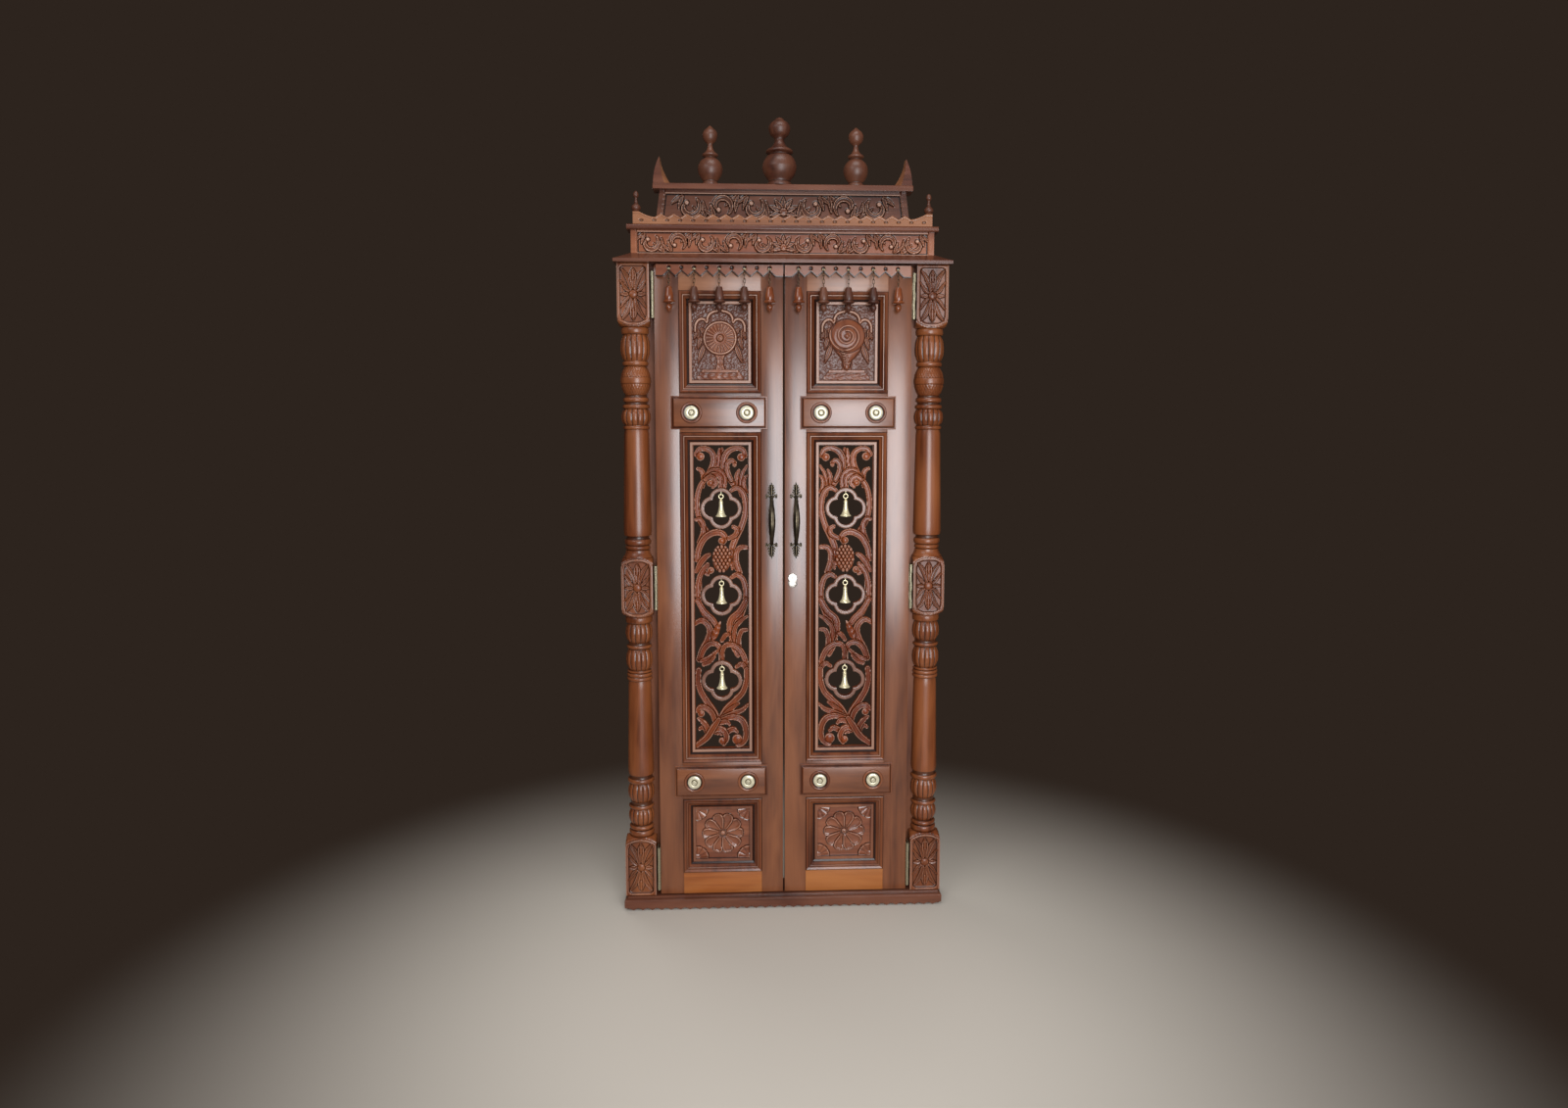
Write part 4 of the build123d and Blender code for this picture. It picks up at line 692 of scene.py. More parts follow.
    def mesh(self, name, ground, place=0.0, flip=False, carve=None):
        """The carving as a closed mesh, its height 0 at y = ground, moved along x or flipped."""
        s, h = self.wood, self.height
        carve = self.carve_values() if carve is None else carve
        inside = s > 0
        number = np.full(s.shape, -1)
        number[inside] = np.arange(inside.sum())
        xs, zs, hs, cs = [self.X[inside]], [self.Z[inside]], [h[inside]], [carve[inside]]
        count = int(inside.sum())
        crossing = []
        for axis in (0, 1):
            one = (slice(None, -1), slice(None)) if axis == 0 else (slice(None), slice(None, -1))
            two = (slice(1, None), slice(None)) if axis == 0 else (slice(None), slice(1, None))
            cut = inside[one] != inside[two]
            t = np.clip(s[one][cut] / (s[one][cut] - s[two][cut]), 0.04, 0.96)
            ids = np.full(cut.shape, -1)
            ids[cut] = count + np.arange(cut.sum())
            count += int(cut.sum())
            for store, grid in ((xs, self.X), (zs, self.Z)):
                store.append(grid[one][cut] * (1 - t) + grid[two][cut] * t)
            keep_one = inside[one][cut]
            hs.append(np.where(keep_one, h[one][cut], h[two][cut]))
            cs.append(np.where(keep_one, carve[one][cut], carve[two][cut]))
            crossing.append(ids)
        ring = np.stack([
            number[:-1, :-1], crossing[0][:, :-1], number[1:, :-1], crossing[1][1:, :],
            number[1:, 1:], crossing[0][:, 1:], number[:-1, 1:], crossing[1][:-1, :],
        ], axis=-1).reshape(-1, 8)
        full = (ring[:, ::2] >= 0).all(1)
        faces = ring[full][:, ::2].tolist()
        for row in ring[~full & (ring >= 0).any(1)].tolist():
            face = [v for v in row if v >= 0]
            if len(face) > 2:
                faces.append(face)
        x, z, h, c = (np.concatenate(values) for values in (xs, zs, hs, cs))
        y = ground - h
        ends = {}
        for face in faces:
            for a, b in zip(face, face[1:] + face[:1]):
                if ends.pop((b, a), None) is None:
                    ends[(a, b)] = True
        rim = sorted({v for edge in ends for v in edge})
        back = {v: len(x) + k for k, v in enumerate(rim)}
        for a, b in ends:
            faces.append([b, a, back[a], back[b]])
        order = {v: k for k, v in enumerate(rim)}
        flat = [Vector((x[v], z[v])) for v in rim]
        edges = [(order[a], order[b]) for a, b in ends]
        corners, _, triangles, origin, _, _ = delaunay_2d_cdt(flat, edges, [], 0, 1e-4)
        placed = {}
        for k, source in enumerate(origin):
            if source:
                placed[k] = back[rim[source[0]]]
        for triangle in triangles:
            if all(k in placed for k in triangle):
                middle = sum((corners[k] for k in triangle), Vector((0, 0))) / 3
                if self.wood_at(middle.x, middle.y) > 0:
                    faces.append([placed[k] for k in reversed(triangle)])
        x = np.concatenate([x, x[rim]])
        z = np.concatenate([z, z[rim]])
        y = np.concatenate([y, np.full(len(rim), ground)])
        c = np.concatenate([c, np.full(len(rim), 0.5)])
        if flip:
            x = -x
            faces = [face[::-1] for face in faces]
        return make_mesh(name, np.stack([x + place, y, z], -1), faces, c, CARVED_SHARP)

    def wood_at(self, x, z):
        """The wood grid's value at a place."""
        i = min(max((x - self.x[0]) / self.cell, 0), len(self.x) - 1.001)
        j = min(max((z - self.z[0]) / self.cell, 0), len(self.z) - 1.001)
        a, b, s = int(i), int(j), self.wood
        i, j = i - a, j - b
        low = s[a, b] * (1 - i) + s[a + 1, b] * i
        return low * (1 - j) + (s[a, b + 1] * (1 - i) + s[a + 1, b + 1] * i) * j


print("the carver's block is ready")

# %% [markdown]
# ## The pierced screens
#
# Each leaf has one tall panel sawn right through: three quatrefoils in flat bands, held in a thicket of
# stalks that cross over and under each other and end in balls, a bud of pearls between two quatrefoils
# and a large leaf at the foot. The right leaf mirrors the left. The drawing is a list of stalks, laid
# from the lowest to the uppermost, and the bands come last because they lie over everything.

# %% Carve the screens
QUATREFOIL_Z = (633.5, 871.5, 1109.5)
LOBE, BAND_WIDE = 23.0, 9.5
SHAPED = ((0, 0.25, 0.5, 0.68, 0.8, 0.9, 1.0), (0.66, 0.5, 0.56, 0.94, 1.0, 0.66, 0.0))
# Around the top quatrefoil: its tuft, its two scrolls, the leaves over it and the stalks on both sides
TOP_STALKS = (
    (((-9, 104, 5), (-6, 135, 6), (-3, 160, 3)), (10, 12)),
    (((6, 104, 5), (7, 135, 6), (4, 162, 3)), (9, 11)),
    (((-46, 80, 6), (-30, 100, 7.5), (-20, 126, 8), (-23, 150, 7.5), (-40, 162, 7), (-58, 160, 6.5),
      (-68, 146, 5)),
     (11, 13)),
    (((40, 56, 7), (22, 84, 8.5), (10, 108, 9), (9, 134, 8.5), (20, 154, 8), (42, 164, 7),
      (60, 158, 6.5), (67, 142, 5)),
     (12, 14)),
    (((28, 78, 6), (18, 100, 6.5), (18, 120, 6), (28, 130, 6), (38, 124, 5)), (14, 15)),
)
# The same in every bay, about the quatrefoil's middle
SIDE_STALKS = (
    (((56, 36, 6), (48, 62, 6), (43, 88, 6), (49, 104, 3)), (12, 14)),
    (((60, 40, 6), (54, 68, 5.5), (57, 92, 5), (70, 116, 2.5)), (11, 13)),
    (((68, 44, 5), (62, 66, 5), (66, 84, 4), (76, 90, 2)), (10, 12)),
    (((28, 49, 5), (42, 56, 6.5), (58, 44, 7), (66, 16, 7.5), (65, -16, 7.5), (54, -52, 8),
      (38, -84, 8.5), (29, -112, 8.5), (32, -140, 8), (44, -166, 7)), (12, 14)),
    (((-50, 60, 6), (-47, 84, 6.5), (-52, 102, 6), (-62, 108, 4)), (11, 12)),
    (((-38, 84, 6), (-54, 64, 6.5), (-63, 36, 7), (-65, 6, 7), (-60, -24, 7), (-48, -50, 7),
      (-30, -72, 6)), (12, 12)),
)
CROWN_STALKS = (
    (((-42, 86, 5), (-27, 101, 6), (-8, 103, 6.5), (6, 93, 6), (11, 77, 6), (9, 55, 5)), (11, 13)),
    (((-40, 82, 5), (-20, 93, 6), (-4, 87, 6), (0, 74, 5.5), (-2, 55, 5)), (12, 14)),
    (((-42, 78, 5), (-29, 86, 6), (-17, 80, 6), (-14, 68, 5.5), (-22, 58, 4)), (13, 15)),
)
# Between the top and the middle quatrefoil: the arch that the bud hangs from
BUD_STALKS = (
    (((-60, -92, 6), (-50, -68, 6.5), (-48, -46, 6), (-56, -30, 5.5), (-68, -30, 4)), (11, 13)),
    (((-66, -140, 7), (-60, -108, 8), (-44, -80, 8.5), (-20, -66, 8.5), (0, -67, 8), (11, -80, 7),
      (6, -94, 5)), (12, 14)),
    (((20, -82, 5), (38, -72, 6.5), (43, -58, 6), (33, -50, 5)), (12, 14)),
    (((50, -176, 7), (41, -146, 7), (41, -122, 7), (50, -108, 6.5), (66, -106, 5), (76, -110, 3)),
     (12, 14)),
    (((-68, -172, 5), (-56, -148, 8), (-42, -132, 7), (-32, -126, 4)), (10, 12)),
    (((-60, -222, 6), (-60, -192, 6.5), (-50, -173, 6), (-37, -180, 4.5)), (12, 13)),
    (((30, -118, 5), (26, -140, 4), (30, -166, 3)), (9, 10)),
)
# Between the middle and the lowest quatrefoil, about the lowest one's middle
LOW_STALKS = (
    (((-66, 224, 7), (-48, 193, 8), (-26, 171, 8), (-12, 150, 6)), (10, 11)),
    (((67, 224, 7), (49, 193, 8), (26, 170, 8.5), (22, 143, 8.5), (30, 118, 8), (48, 94, 7)), (11, 12)),
    (((-76, 158, 5), (-56, 168, 7), (-39, 157, 8), (-32, 138, 8.5), (-39, 114, 8.5), (-53, 88, 8),
      (-63, 60, 7)), (12, 13)),
    (((40, 100, 6), (34, 126, 6), (38, 150, 6), (54, 168, 5), (70, 180, 2.5)), (12, 14)),
    (((48, 92, 6), (46, 116, 6.5), (54, 138, 6), (68, 142, 4)), (13, 14)),
    (((0, 112, 5), (10, 126, 6), (18, 130, 4)), (10, 11)),
)
ARCH_STALKS = (
    (((-60, 62, 6), (-49, 88, 7), (-32, 103, 7), (-14, 101, 6.5), (-3, 84, 6), (-3, 54, 5)), (12, 12)),
    (((2, 56, 5), (2, 84, 6), (12, 99, 6.5), (31, 99, 7), (50, 85, 7.5), (63, 60, 7), (67, 36, 6)),
     (12, 14)),
    (((-56, 56, 5), (-34, 64, 6.5), (-12, 84, 3.5)), (13, 14)),
    (((-50, 46, 5), (-34, 52, 5), (-20, 68, 3)), (13, 14)),
    (((40, 38, 4.5), (54, 46, 6), (66, 34, 6)), (13, 13)),
)
LOW_LEAF = (-28, 110, 66, 62, 19, 13.5)
# The foot, about the lowest quatrefoil's middle
FOOT_STALKS = (
    (((-64, 30, 7), (-66, 0, 7.5), (-58, -31, 8), (-42, -59, 8.5), (-23, -88, 8.5), (-13, -110, 7)),
     (12, 12)),
    (((68, 30, 7), (67, -2, 7.5), (56, -34, 8), (35, -57, 8.5), (11, -82, 9), (-4, -108, 8)), (12, 13)),
    (((-63, -136, 4), (-52, -132, 6), (-42, -146, 6.5), (-40, -158, 5)), (11, 12)),
    (((-66, -106, 3), (-54, -116, 6), (-42, -133, 7), (-38, -156, 6)), (12, 12)),
    (((-18, -124, 6), (-27, -94, 7), (-44, -77, 7), (-60, -74, 6.5), (-70, -84, 5)), (13, 14)),
    (((-4, -106, 5), (20, -84, 6.5), (46, -64, 3)), (12, 13)),
    (((0, -104, 5), (32, -92, 7), (54, -84, 5.5), (72, -68, 2.5)), (13, 14)),
    (((-4, -110, 5), (26, -103, 7.5), (51, -110, 8.5), (64, -132, 8.5), (65, -160, 8), (54, -178, 7),
      (42, -182, 5)), (13, 14)),
    (((-26, -146, 5), (6, -148, 7), (28, -138, 7), (42, -146, 3)), (11, 12)),
    (((-30, -142, 6), (-12, -122, 7), (10, -116, 6.5), (20, -124, 3.5)), (12, 13)),
    (((-32, -148, 6), (-11, -135, 7.5), (6, -144, 7.5), (12, -162, 7), (4, -178, 5.5)), (14, 15)),
    (((-10, -110, 6), (-26, -134, 8.5), (-44, -161, 8.5), (-76, -186, 6)), (14, 13)),
)
BALLS = {
    0: ((-55, 141, 11), (55, 139, 10.5), (-29, 69, 9), (1, -88, 9), (37, 118, 5.5)),
    1: ((-29, 69, 9),),
    2: ((-58, -92, 9.5), (41, -166, 13.5), (0, -170, 9.5)),
}


def quatrefoil_distance(x, z, lobe, band):
    """How far outside a quatrefoil each place lies; below 0 inside it."""
    square = np.maximum(np.abs(x), np.abs(z)) - lobe
    lobes = [np.hypot(x - dx * lobe, z - dz * lobe) - lobe - band
             for dx, dz in ((1, 0), (-1, 0), (0, 1), (0, -1))]
    return np.minimum(square, np.minimum.reduce(lobes))


def carve_jali():
    """The left leaf's pierced screen about the middle of its panel."""
    low, high = JALI_SIGHT[0] - 6, JALI_SIGHT[1] + 6
    work = Relief((-SIGHT_HALF - 6, low), (SIGHT_HALF + 6, high), FINE_CELL, 8.0, solid=False)
    lowest, middle, top = QUATREFOIL_Z
    layers = (
        (top, TOP_STALKS + SIDE_STALKS + CROWN_STALKS + BUD_STALKS),
        (middle, SIDE_STALKS[3:4] + SIDE_STALKS[5:]),
        (lowest, LOW_STALKS + ARCH_STALKS + FOOT_STALKS),
    )
    for z, stalks in layers:
        for points, level in stalks:
            work.stalk([(x, z + dz, half + 0.5) for x, dz, half in points], level, rise=5.0,
                       cross=SHAPED, depth=3.4, opened=True)
    x, dz, turn, length, width, level = LOW_LEAF
    work.leaf(x, lowest + dz, turn, length, width, level, rise=4, veins=4, opened=True)
    for k, z in enumerate(reversed(QUATREFOIL_Z)):
        for x, dz, radius in BALLS[k]:
            work.knob(x, z + dz, radius, 16.0, 5.0, opened=True)
    bud_z = top - 137
    work.knob(1, bud_z, 25, 11.5, 5.0, opened=True, stretch=38 / 25, turn=90)
    for row in range(8):
        dz = 32 - row * 9.2
        across = 24 * math.sqrt(max(1 - (dz / 39) ** 2, 0.03))
        for k in range(-3, 4):
            dx = (k + 0.5 * (row % 2)) * 10.4
            if abs(dx) < across:
                work.knob(1 + dx, bud_z + dz, 4.3, 15.6 - abs(dx) * 0.12, 5.0, stretch=1.42,
                          turn=90 - dx * 1.2, depth=3.0, groove=1.2)
    inner = np.minimum(SIGHT_HALF - np.abs(work.X),
                       np.minimum(work.Z - JALI_SIGHT[0], JALI_SIGHT[1] - work.Z))
    work.wood = np.maximum(work.wood, -inner + 1.0)
    work.height[inner < 1.0] = 9.0
    for z in QUATREFOIL_Z:
        outer = quatrefoil_distance(work.X, work.Z - z, LOBE, BAND_WIDE)
        hole = quatrefoil_distance(work.X, work.Z - z, LOBE, 0.0)
        band = (outer < 0) & (hole > -4)
        level = np.interp(hole, (-1, 0.6, 1.6, 4, 7.4, 8.6, 9.4),
                          (11.5, 13.6, 14.2, 13.9, 14.2, 13.4, 11.0))
        near = (outer > 0) & (outer < 3)
        work.height[near] -= (1 - outer[near] / 3) * 2.6
        work.height[band] = level[band]
        work.wood = np.where(outer < 1.0, np.maximum(work.wood, -outer), work.wood)
        work.wood = np.minimum(work.wood, hole)
    return work


def paint_bands(mesh, place):
    """Give the quatrefoils' flat bands their own milky finish."""
    mesh.materials.append(band_teak)
    for face in mesh.polygons:
        x, z = face.center.x / MM - place, face.center.z / MM
        for middle in QUATREFOIL_Z:
            near = abs(z - middle) < 60 and face.normal.y < -0.2
            if near and quatrefoil_distance(abs(x), z - middle, LOBE, BAND_WIDE) < 0.4:
                face.material_index = 1


screen = carve_jali()
JALI_BACK = span("right_jali", 1)[1]
for leaf in ("left", "right"):
    side = side_of(leaf)
    # The screen's finish paints a highlight on the lips of the stalks and shade in their channels.
    mesh = screen.mesh(f"{leaf}_screen", JALI_BACK, side * PANEL_X, flip=side > 0,
                       carve=screen.carve_values(3.0, 3.6))
    add_piece(mesh, f"{leaf}_leaf", screen_teak, [f"{leaf}_jali"])
    paint_bands(mesh, side * PANEL_X)
print("screens carved:", len(mesh.vertices), "points each")

# %% [markdown]
# ## Turned posts
#
# Each post was turned between square blocks on a lathe, then split, so it lies flat on the jamb. A
# lathe gives rings, beads and necks, and a carver cuts the fluted bulbs and the chequered balls
# afterwards. A list of the cuts from the foot up gives the radius at each height, and the bulbs change
# it round the post too.

# %% Turn the posts
SILL_TOP = span("jambs", 2)[0]
EAVE_FOOT = span("jambs", 2)[1]
POST_AXIS = centre_of("right_post", 0)
BLOCK_HALF = 42.0
BLOCK_FRONT = span("right_post", 1)[0]
LOWER_CUTS = (
    ("ring", 17.0, 35.0), ("bead", 14.0, 34.0), ("neck", 1.5, 30.0), ("gadroon", 45.0, 36.0),
    ("ring", 11.0, 35.0), ("neck", 9.0, 30.0), ("gadroon", 53.0, 37.0), ("ring", 14.0, 37.0),
    ("neck", 10.0, 32.0), ("shaft", 265.0, 36.0), ("ring", 11.0, 35.0), ("ring", 11.0, 35.0),
    ("bead", 8.0, 34.0), ("gadroon", 57.0, 37.0), ("neck", 3.0, 30.0), ("ring", 10.0, 35.0),
    ("neck", 7.0, 30.0), ("gadroon", 53.0, 37.5), ("ring", 19.5, 37.0),
)
UPPER_CUTS = (
    ("flare", 19.0, 41.0), ("bead", 14.0, 34.0), ("ring", 17.0, 36.0), ("neck", 9.0, 31.0),
    ("shaft", 286.0, 38.5), ("ring", 11.0, 36.0), ("gadroon", 45.0, 40.0), ("ring", 11.0, 37.0),
    ("neck", 6.0, 31.0), ("ring", 13.0, 35.0), ("neck", 6.0, 31.0), ("ball", 77.0, 41.0),
    ("ring", 13.0, 35.0), ("gadroon", 70.0, 40.0), ("ring", 19.5, 37.0),
)
LOWER_BLOCK = 163.5
MIDDLE_BLOCK = 162.0
SHOULDER = 22.0
SHOULDER_FROM, SHOULDER_RISE, NO_SHOULDER = 38, 22, 70.0
POST_STEPS = 76
ROSETTE_BOARD = 6.0
POST_SHARP = 42


SHAFT_TAPER = 0.13
GADROONS, GADROON_DEPTH = 7, 0.1
GADROON_SWELL = ((0, 0.1, 0.28, 0.5, 0.75, 0.92, 1), (0.76, 0.87, 0.97, 1.0, 0.96, 0.86, 0.78))
CHEQUERS = 15
BELT, BELT_GROOVE = 0.1, 0.12


def cut_radius(kind, radius, height, t, angle):
    """Radius and carve value of one cut at height t of 1 and round the post; low values paint shade in
    necks, grooves and between lobes.
    """
    arch = np.sqrt(np.maximum(1 - (2 * t - 1) ** 2, 0))
    even = 0 * angle
    if kind == "shaft":
        end = np.minimum(t, 1 - t) * height
        groove = 1.6 * np.clip(1 - end / 2.5, 0, 1) ** 2
        return radius * (1 - SHAFT_TAPER * t) - groove + even, 1 + even
    if kind == "neck":
        return radius - 1.0 * arch + even, 0.25 + even
    if kind == "flare":
        return radius * (0.8 + 0.2 * (1 - t) ** 2) + even, 0.9 + even
    if kind == "ring":
        edge = min(height / 4, 3.5)
        return radius - edge * (1 - arch ** 0.7) + even, 0.2 + 0.8 * arch + even
    if kind == "bead":
        return radius - min(height / 2.6, 6) * (1 - arch) + even, 0.1 + 0.9 * arch + even
    if kind == "gadroon":
        swell = np.interp(t, *GADROON_SWELL)
        lobe = np.abs(np.sin(GADROONS * angle)) ** 0.42
        deep = GADROON_DEPTH * np.clip(np.minimum(t, 1 - t) * 8, 0.1, 1)
        return radius * swell * (1 - deep * (1 - lobe)), np.clip(lobe * 1.5 - 0.45, 0, 1) + even
    swell = np.sqrt(1 - 0.52 * (2 * t - 1) ** 2)
    if abs(t - 0.5) < BELT_GROOVE:
        on_belt = abs(t - 0.5) < BELT
        return radius * swell * (1.0 if on_belt else 0.975) + even, (0.95 if on_belt else 0.2) + even
    one, other = CHEQUERS * (angle + t), CHEQUERS * (angle - t)
    chequer = np.sqrt(np.abs(np.sin(one)) * np.abs(np.sin(other)))
    return radius * swell * (0.955 + 0.035 * chequer), 0.3 + 0.7 * chequer


def square_radius(angle):
    """How far the square block reaches in each direction, short of its carved front board."""
    return np.minimum(BLOCK_HALF / np.maximum(np.abs(np.cos(angle)), 1e-3),
                      (-BLOCK_FRONT - ROSETTE_BOARD) / np.maximum(np.sin(angle), 1e-3))


def shoulder_radius(up, height, round_foot, round_head):
    """The turned shoulder at each end of a block that meets a turning."""
    limit = np.full(up.shape, NO_SHOULDER)
    for is_round, far in ((round_foot, up), (round_head, height - up)):
        if is_round:
            rise = SHOULDER_RISE * np.sin(np.clip(far / SHOULDER, 0, 1) * math.pi / 2)
            limit = np.where(far < SHOULDER, SHOULDER_FROM + rise, limit)
    return limit


def post_rows():
    """Every height of the post with its radii and carve values, which paint shade, round the front
    half.
    """
    corner = math.atan2(-BLOCK_FRONT - ROSETTE_BOARD, BLOCK_HALF)
    angle = np.sort(np.concatenate([np.linspace(0, math.pi, POST_STEPS - 1),
                                    [corner, math.pi - corner]]))
    rows = []

    def add_block(z, height, round_foot, round_head):
        ends = [0, 2, 5, 9, 14, 18, 22]
        ups = ends if round_foot else [0]
        ups = ups + ([height - e for e in reversed(ends)] if round_head else [height])
        for up in ups:
            limit = shoulder_radius(np.array([float(up)]), height, round_foot, round_head)[0]
            rows.append((z + up, np.minimum(square_radius(angle), limit), np.full(angle.shape, 0.9)))
        return z + height

    def add_cuts(z, cuts):
        for kind, height, radius in cuts:
            steps = {"shaft": 24, "ball": 50}.get(kind, max(int(height / 2.6), 4))
            for t in np.linspace(0, 1, steps):
                r, c = cut_radius(kind, radius, height, t, angle)
                rows.append((z + height * t, r, c))
            z += height
        return z

    z = add_block(SILL_TOP, LOWER_BLOCK, False, True)
    z = add_cuts(z, LOWER_CUTS)
    blocks = [(SILL_TOP, LOWER_BLOCK, False, True), (z, MIDDLE_BLOCK, True, True)]
    z = add_block(z, MIDDLE_BLOCK, True, True)
    z = add_cuts(z, UPPER_CUTS)
    blocks.append((z, EAVE_FOOT - z, True, False))
    add_block(z, EAVE_FOOT - z, True, False)
    return angle, rows, blocks


def post_mesh(name, side):
    """One half-round post, flat at its back."""
    angle, rows, _ = post_rows()
    n = len(angle)
    z = np.repeat([row[0] for row in rows], n)
    r = np.concatenate([row[1] for row in rows])
    carve = np.concatenate([row[2] for row in rows])
    round_angle = np.tile(angle, len(rows))
    verts = np.stack([side * POST_AXIS + r * np.cos(round_angle), -r * np.sin(round_angle), z], -1)
    faces = [face[:1] + face[:0:-1] for face in ring_faces(len(rows), n, capped=True)]
    return make_mesh(name, verts, faces, carve, POST_SHARP)


for name in ("right", "left"):
    mesh = post_mesh(f"{name}_turned_post", side_of(name))
    add_piece(mesh, "frame", turned_teak, [f"{name}_post"])
print("posts turned:", len(mesh.vertices), "points each")

# %% [markdown]
# ## Rosettes on the posts' blocks
#
# Each square block has a flower of eight petals, cut into a sunk oval field that the block's border
# frames. The border follows the shoulders that the lathe left. The same carver's block serves again.

# %% Carve the block rosettes
BLOCK_CORNER, FIELD_HALF = 26, 35
ARRIS = 3.0


def carve_block(height, round_foot, round_head):
    """The carved face of one square block, from its foot up."""
    work = Relief((-BLOCK_HALF, 0), (BLOCK_HALF, height), FINE_CELL, ROSETTE_BOARD)
    limit = shoulder_radius(work.Z, height, round_foot, round_head)
    across = np.sqrt(np.maximum(limit ** 2 - BLOCK_FRONT ** 2, 0.01))
    edge = np.minimum(np.minimum(across, BLOCK_HALF) - np.abs(work.X),
                      np.minimum(work.Z, height - work.Z) + 0.3)
    if round_foot or round_head:
        none = np.full(work.Z.shape, 99.0)
        far = np.minimum(work.Z if round_foot else none, height - work.Z if round_head else none)
        corner = np.hypot(np.maximum(np.abs(work.X) - BLOCK_HALF + BLOCK_CORNER, 0),
                          np.maximum(BLOCK_CORNER - far, 0))
        edge = np.minimum(edge, BLOCK_CORNER - corner)
    low, high = (9 if round_foot else 6), height - (9 if round_head else 6)
    middle, half = (low + high) / 2, (high - low) / 2
    far_up, far_down = (24 if round_head else 12), (24 if round_foot else 12)
    curve = np.where(work.Z > middle, far_up, far_down)
    dx, dz = np.abs(work.X) - (FIELD_HALF - curve), np.abs(work.Z - middle) - (half - curve)
    field = np.hypot(np.maximum(dx, 0), np.maximum(dz, 0)) - curve
    work.height = np.where(field < 0, 1.2 + 1.6 * np.clip(1 + field / 4, 0, 1) ** 2, work.height)
    work.height -= np.where((field > 0) & (field < 1.0), (1.0 - field) * 0.8, 0)
    tall = half - 4
    for up in (-1, 1):
        for side in (-1, 1):
            work.stalk([(side * 5, middle + up * 9, 3.0), (side * 9, middle + up * tall * 0.4, 5.2),
                        (side * 17, middle + up * tall * 0.68, 5.6),
                        (side * 29, middle + up * tall * 0.92, 2.6)],
                       (5.6, 5.0), rise=3.2, cross=CROSS_DISHED, depth=1.4, groove=1.2)
            work.stalk([(side * 8, middle + up * 5, 2.4), (side * 20, middle + up * tall * 0.22, 4.6),
                        (side * 33, middle + up * tall * 0.5, 2.0)], (5.2, 4.6), rise=3.0,
                       cross=CROSS_DISHED, depth=1.4, groove=1.2)
        work.leaf(0, middle + up * 12, up * 90, tall - 13, 19, 5.4, rise=3.0, veins=0, blunt=1.2,
                  groove=1.2, cross=CROSS_DISHED)
        work.leaf(0, middle + up * tall * 0.5, up * 90, tall * 0.46, 9, 5.8, rise=2.6, veins=0,
                  groove=1.0)
    for side in (-1, 1):
        work.leaf(side * 10, middle, 90 - side * 90, 24, 11, 5.2, rise=2.8, veins=0, groove=1.2,
                  cross=CROSS_DISHED)
    work.knob(0, middle, 10.5, 6.9, 4.0)
    bevel = np.clip(edge / ARRIS, 0, 1)
    work.height = work.height - 4.5 * (1 - np.sqrt(1 - (1 - bevel) ** 2)) * (edge < ARRIS)
    work.wood = edge
    return work


_, _, POST_BLOCKS = post_rows()
for k, (z, height, round_foot, round_head) in enumerate(POST_BLOCKS):
    work = carve_block(height, round_foot, round_head)
    work.z = work.z + z
    work.Z = work.Z + z
    work.height = np.minimum(work.height, 7.0)
    for name in ("right", "left"):
        # The rosette's finish paints shade in its grooves and a highlight on its ridges.
        mesh = work.mesh(f"{name}_block_rosette_{k + 1}", BLOCK_FRONT + ROSETTE_BOARD,
                         side_of(name) * POST_AXIS)
        add_piece(mesh, "frame", rosette_teak, [f"{name}_post"])
print("rosettes carved:", len(mesh.vertices), "points each")

# %% [markdown]
# ## Top panels
#
# The left leaf's top panel shows a spoked wheel on a pedestal, the right one a conch, and both stand
# under a cusped arch between leaves. They are cut into a solid board, so nothing is sawn through. The
# sunk ground keeps the faint marks of the chisel, drawn from a seeded generator.

# %% Carve the top panels
PANEL_FRONT, PANEL_BACK = span("right_top_panel", 1)
GROUND_CUT = 5.0
GROUND = PANEL_BACK - PANEL_FRONT - GROUND_CUT
# Place, lean, length and width of each leaf beside the arch, then the arch from its foot to its point
SIDE_LEAVES = ((51, 16, 14, 36, 11), (41, -4, 20, 54, 13), (62, 38, -8, 30, 12), (50, 40, -26, 26, 10),
               (60, 30, 24, 24, 9))
HALF_ARCH = ((66, 30, 3.0), (65, 46, 3.2), (59, 57, 3.5), (50, 62, 3.5), (41, 60, 3.2), (35, 54, 3.4),
             (33, 65, 3.4), (27, 75, 3.5), (17, 81, 3.5), (8, 83, 3.4), (0, 89, 3.0))
WHEEL_CROSS = ((0, 0.4, 0.84, 0.87, 0.90, 0.94, 0.97, 1.0), (1.0, 0.9, 0.6, 0.3, 0.66, 0.62, 0.4, 0.0))
WHEEL_RAYS, WHEEL_RADIUS = 22, 45
CONCH_CROSS = ((0, 0.4, 0.7, 0.86, 0.95, 1.0), (1.0, 0.94, 0.76, 0.52, 0.26, 0.0))
CONCH_RADIUS, CONCH_RIBS = 45, 6
SPIRAL_FROM, SPIRAL_GROWTH = 10, 0.125
CHISEL_DEPTH = 0.14


def panel_board(limits):
    """A board with its ground sunk, a little wider than what the moulding leaves visible."""
    return Relief((-SIGHT_HALF - 4, limits[0] - 4), (SIGHT_HALF + 4, limits[1] + 4), FINE_CELL, GROUND)


def panel_carve(work):
    """Low on the sunk ground, which takes the dark hollow colour as painted shade, and high on the
    ridges, where a highlight is painted.
    """
    raised = np.clip((work.height - GROUND - 0.6) / 2.4, 0, 1)
    return np.clip(work.carve_values(3.6, 2.3) * (0.35 + 0.65 * raised), 0, 1)


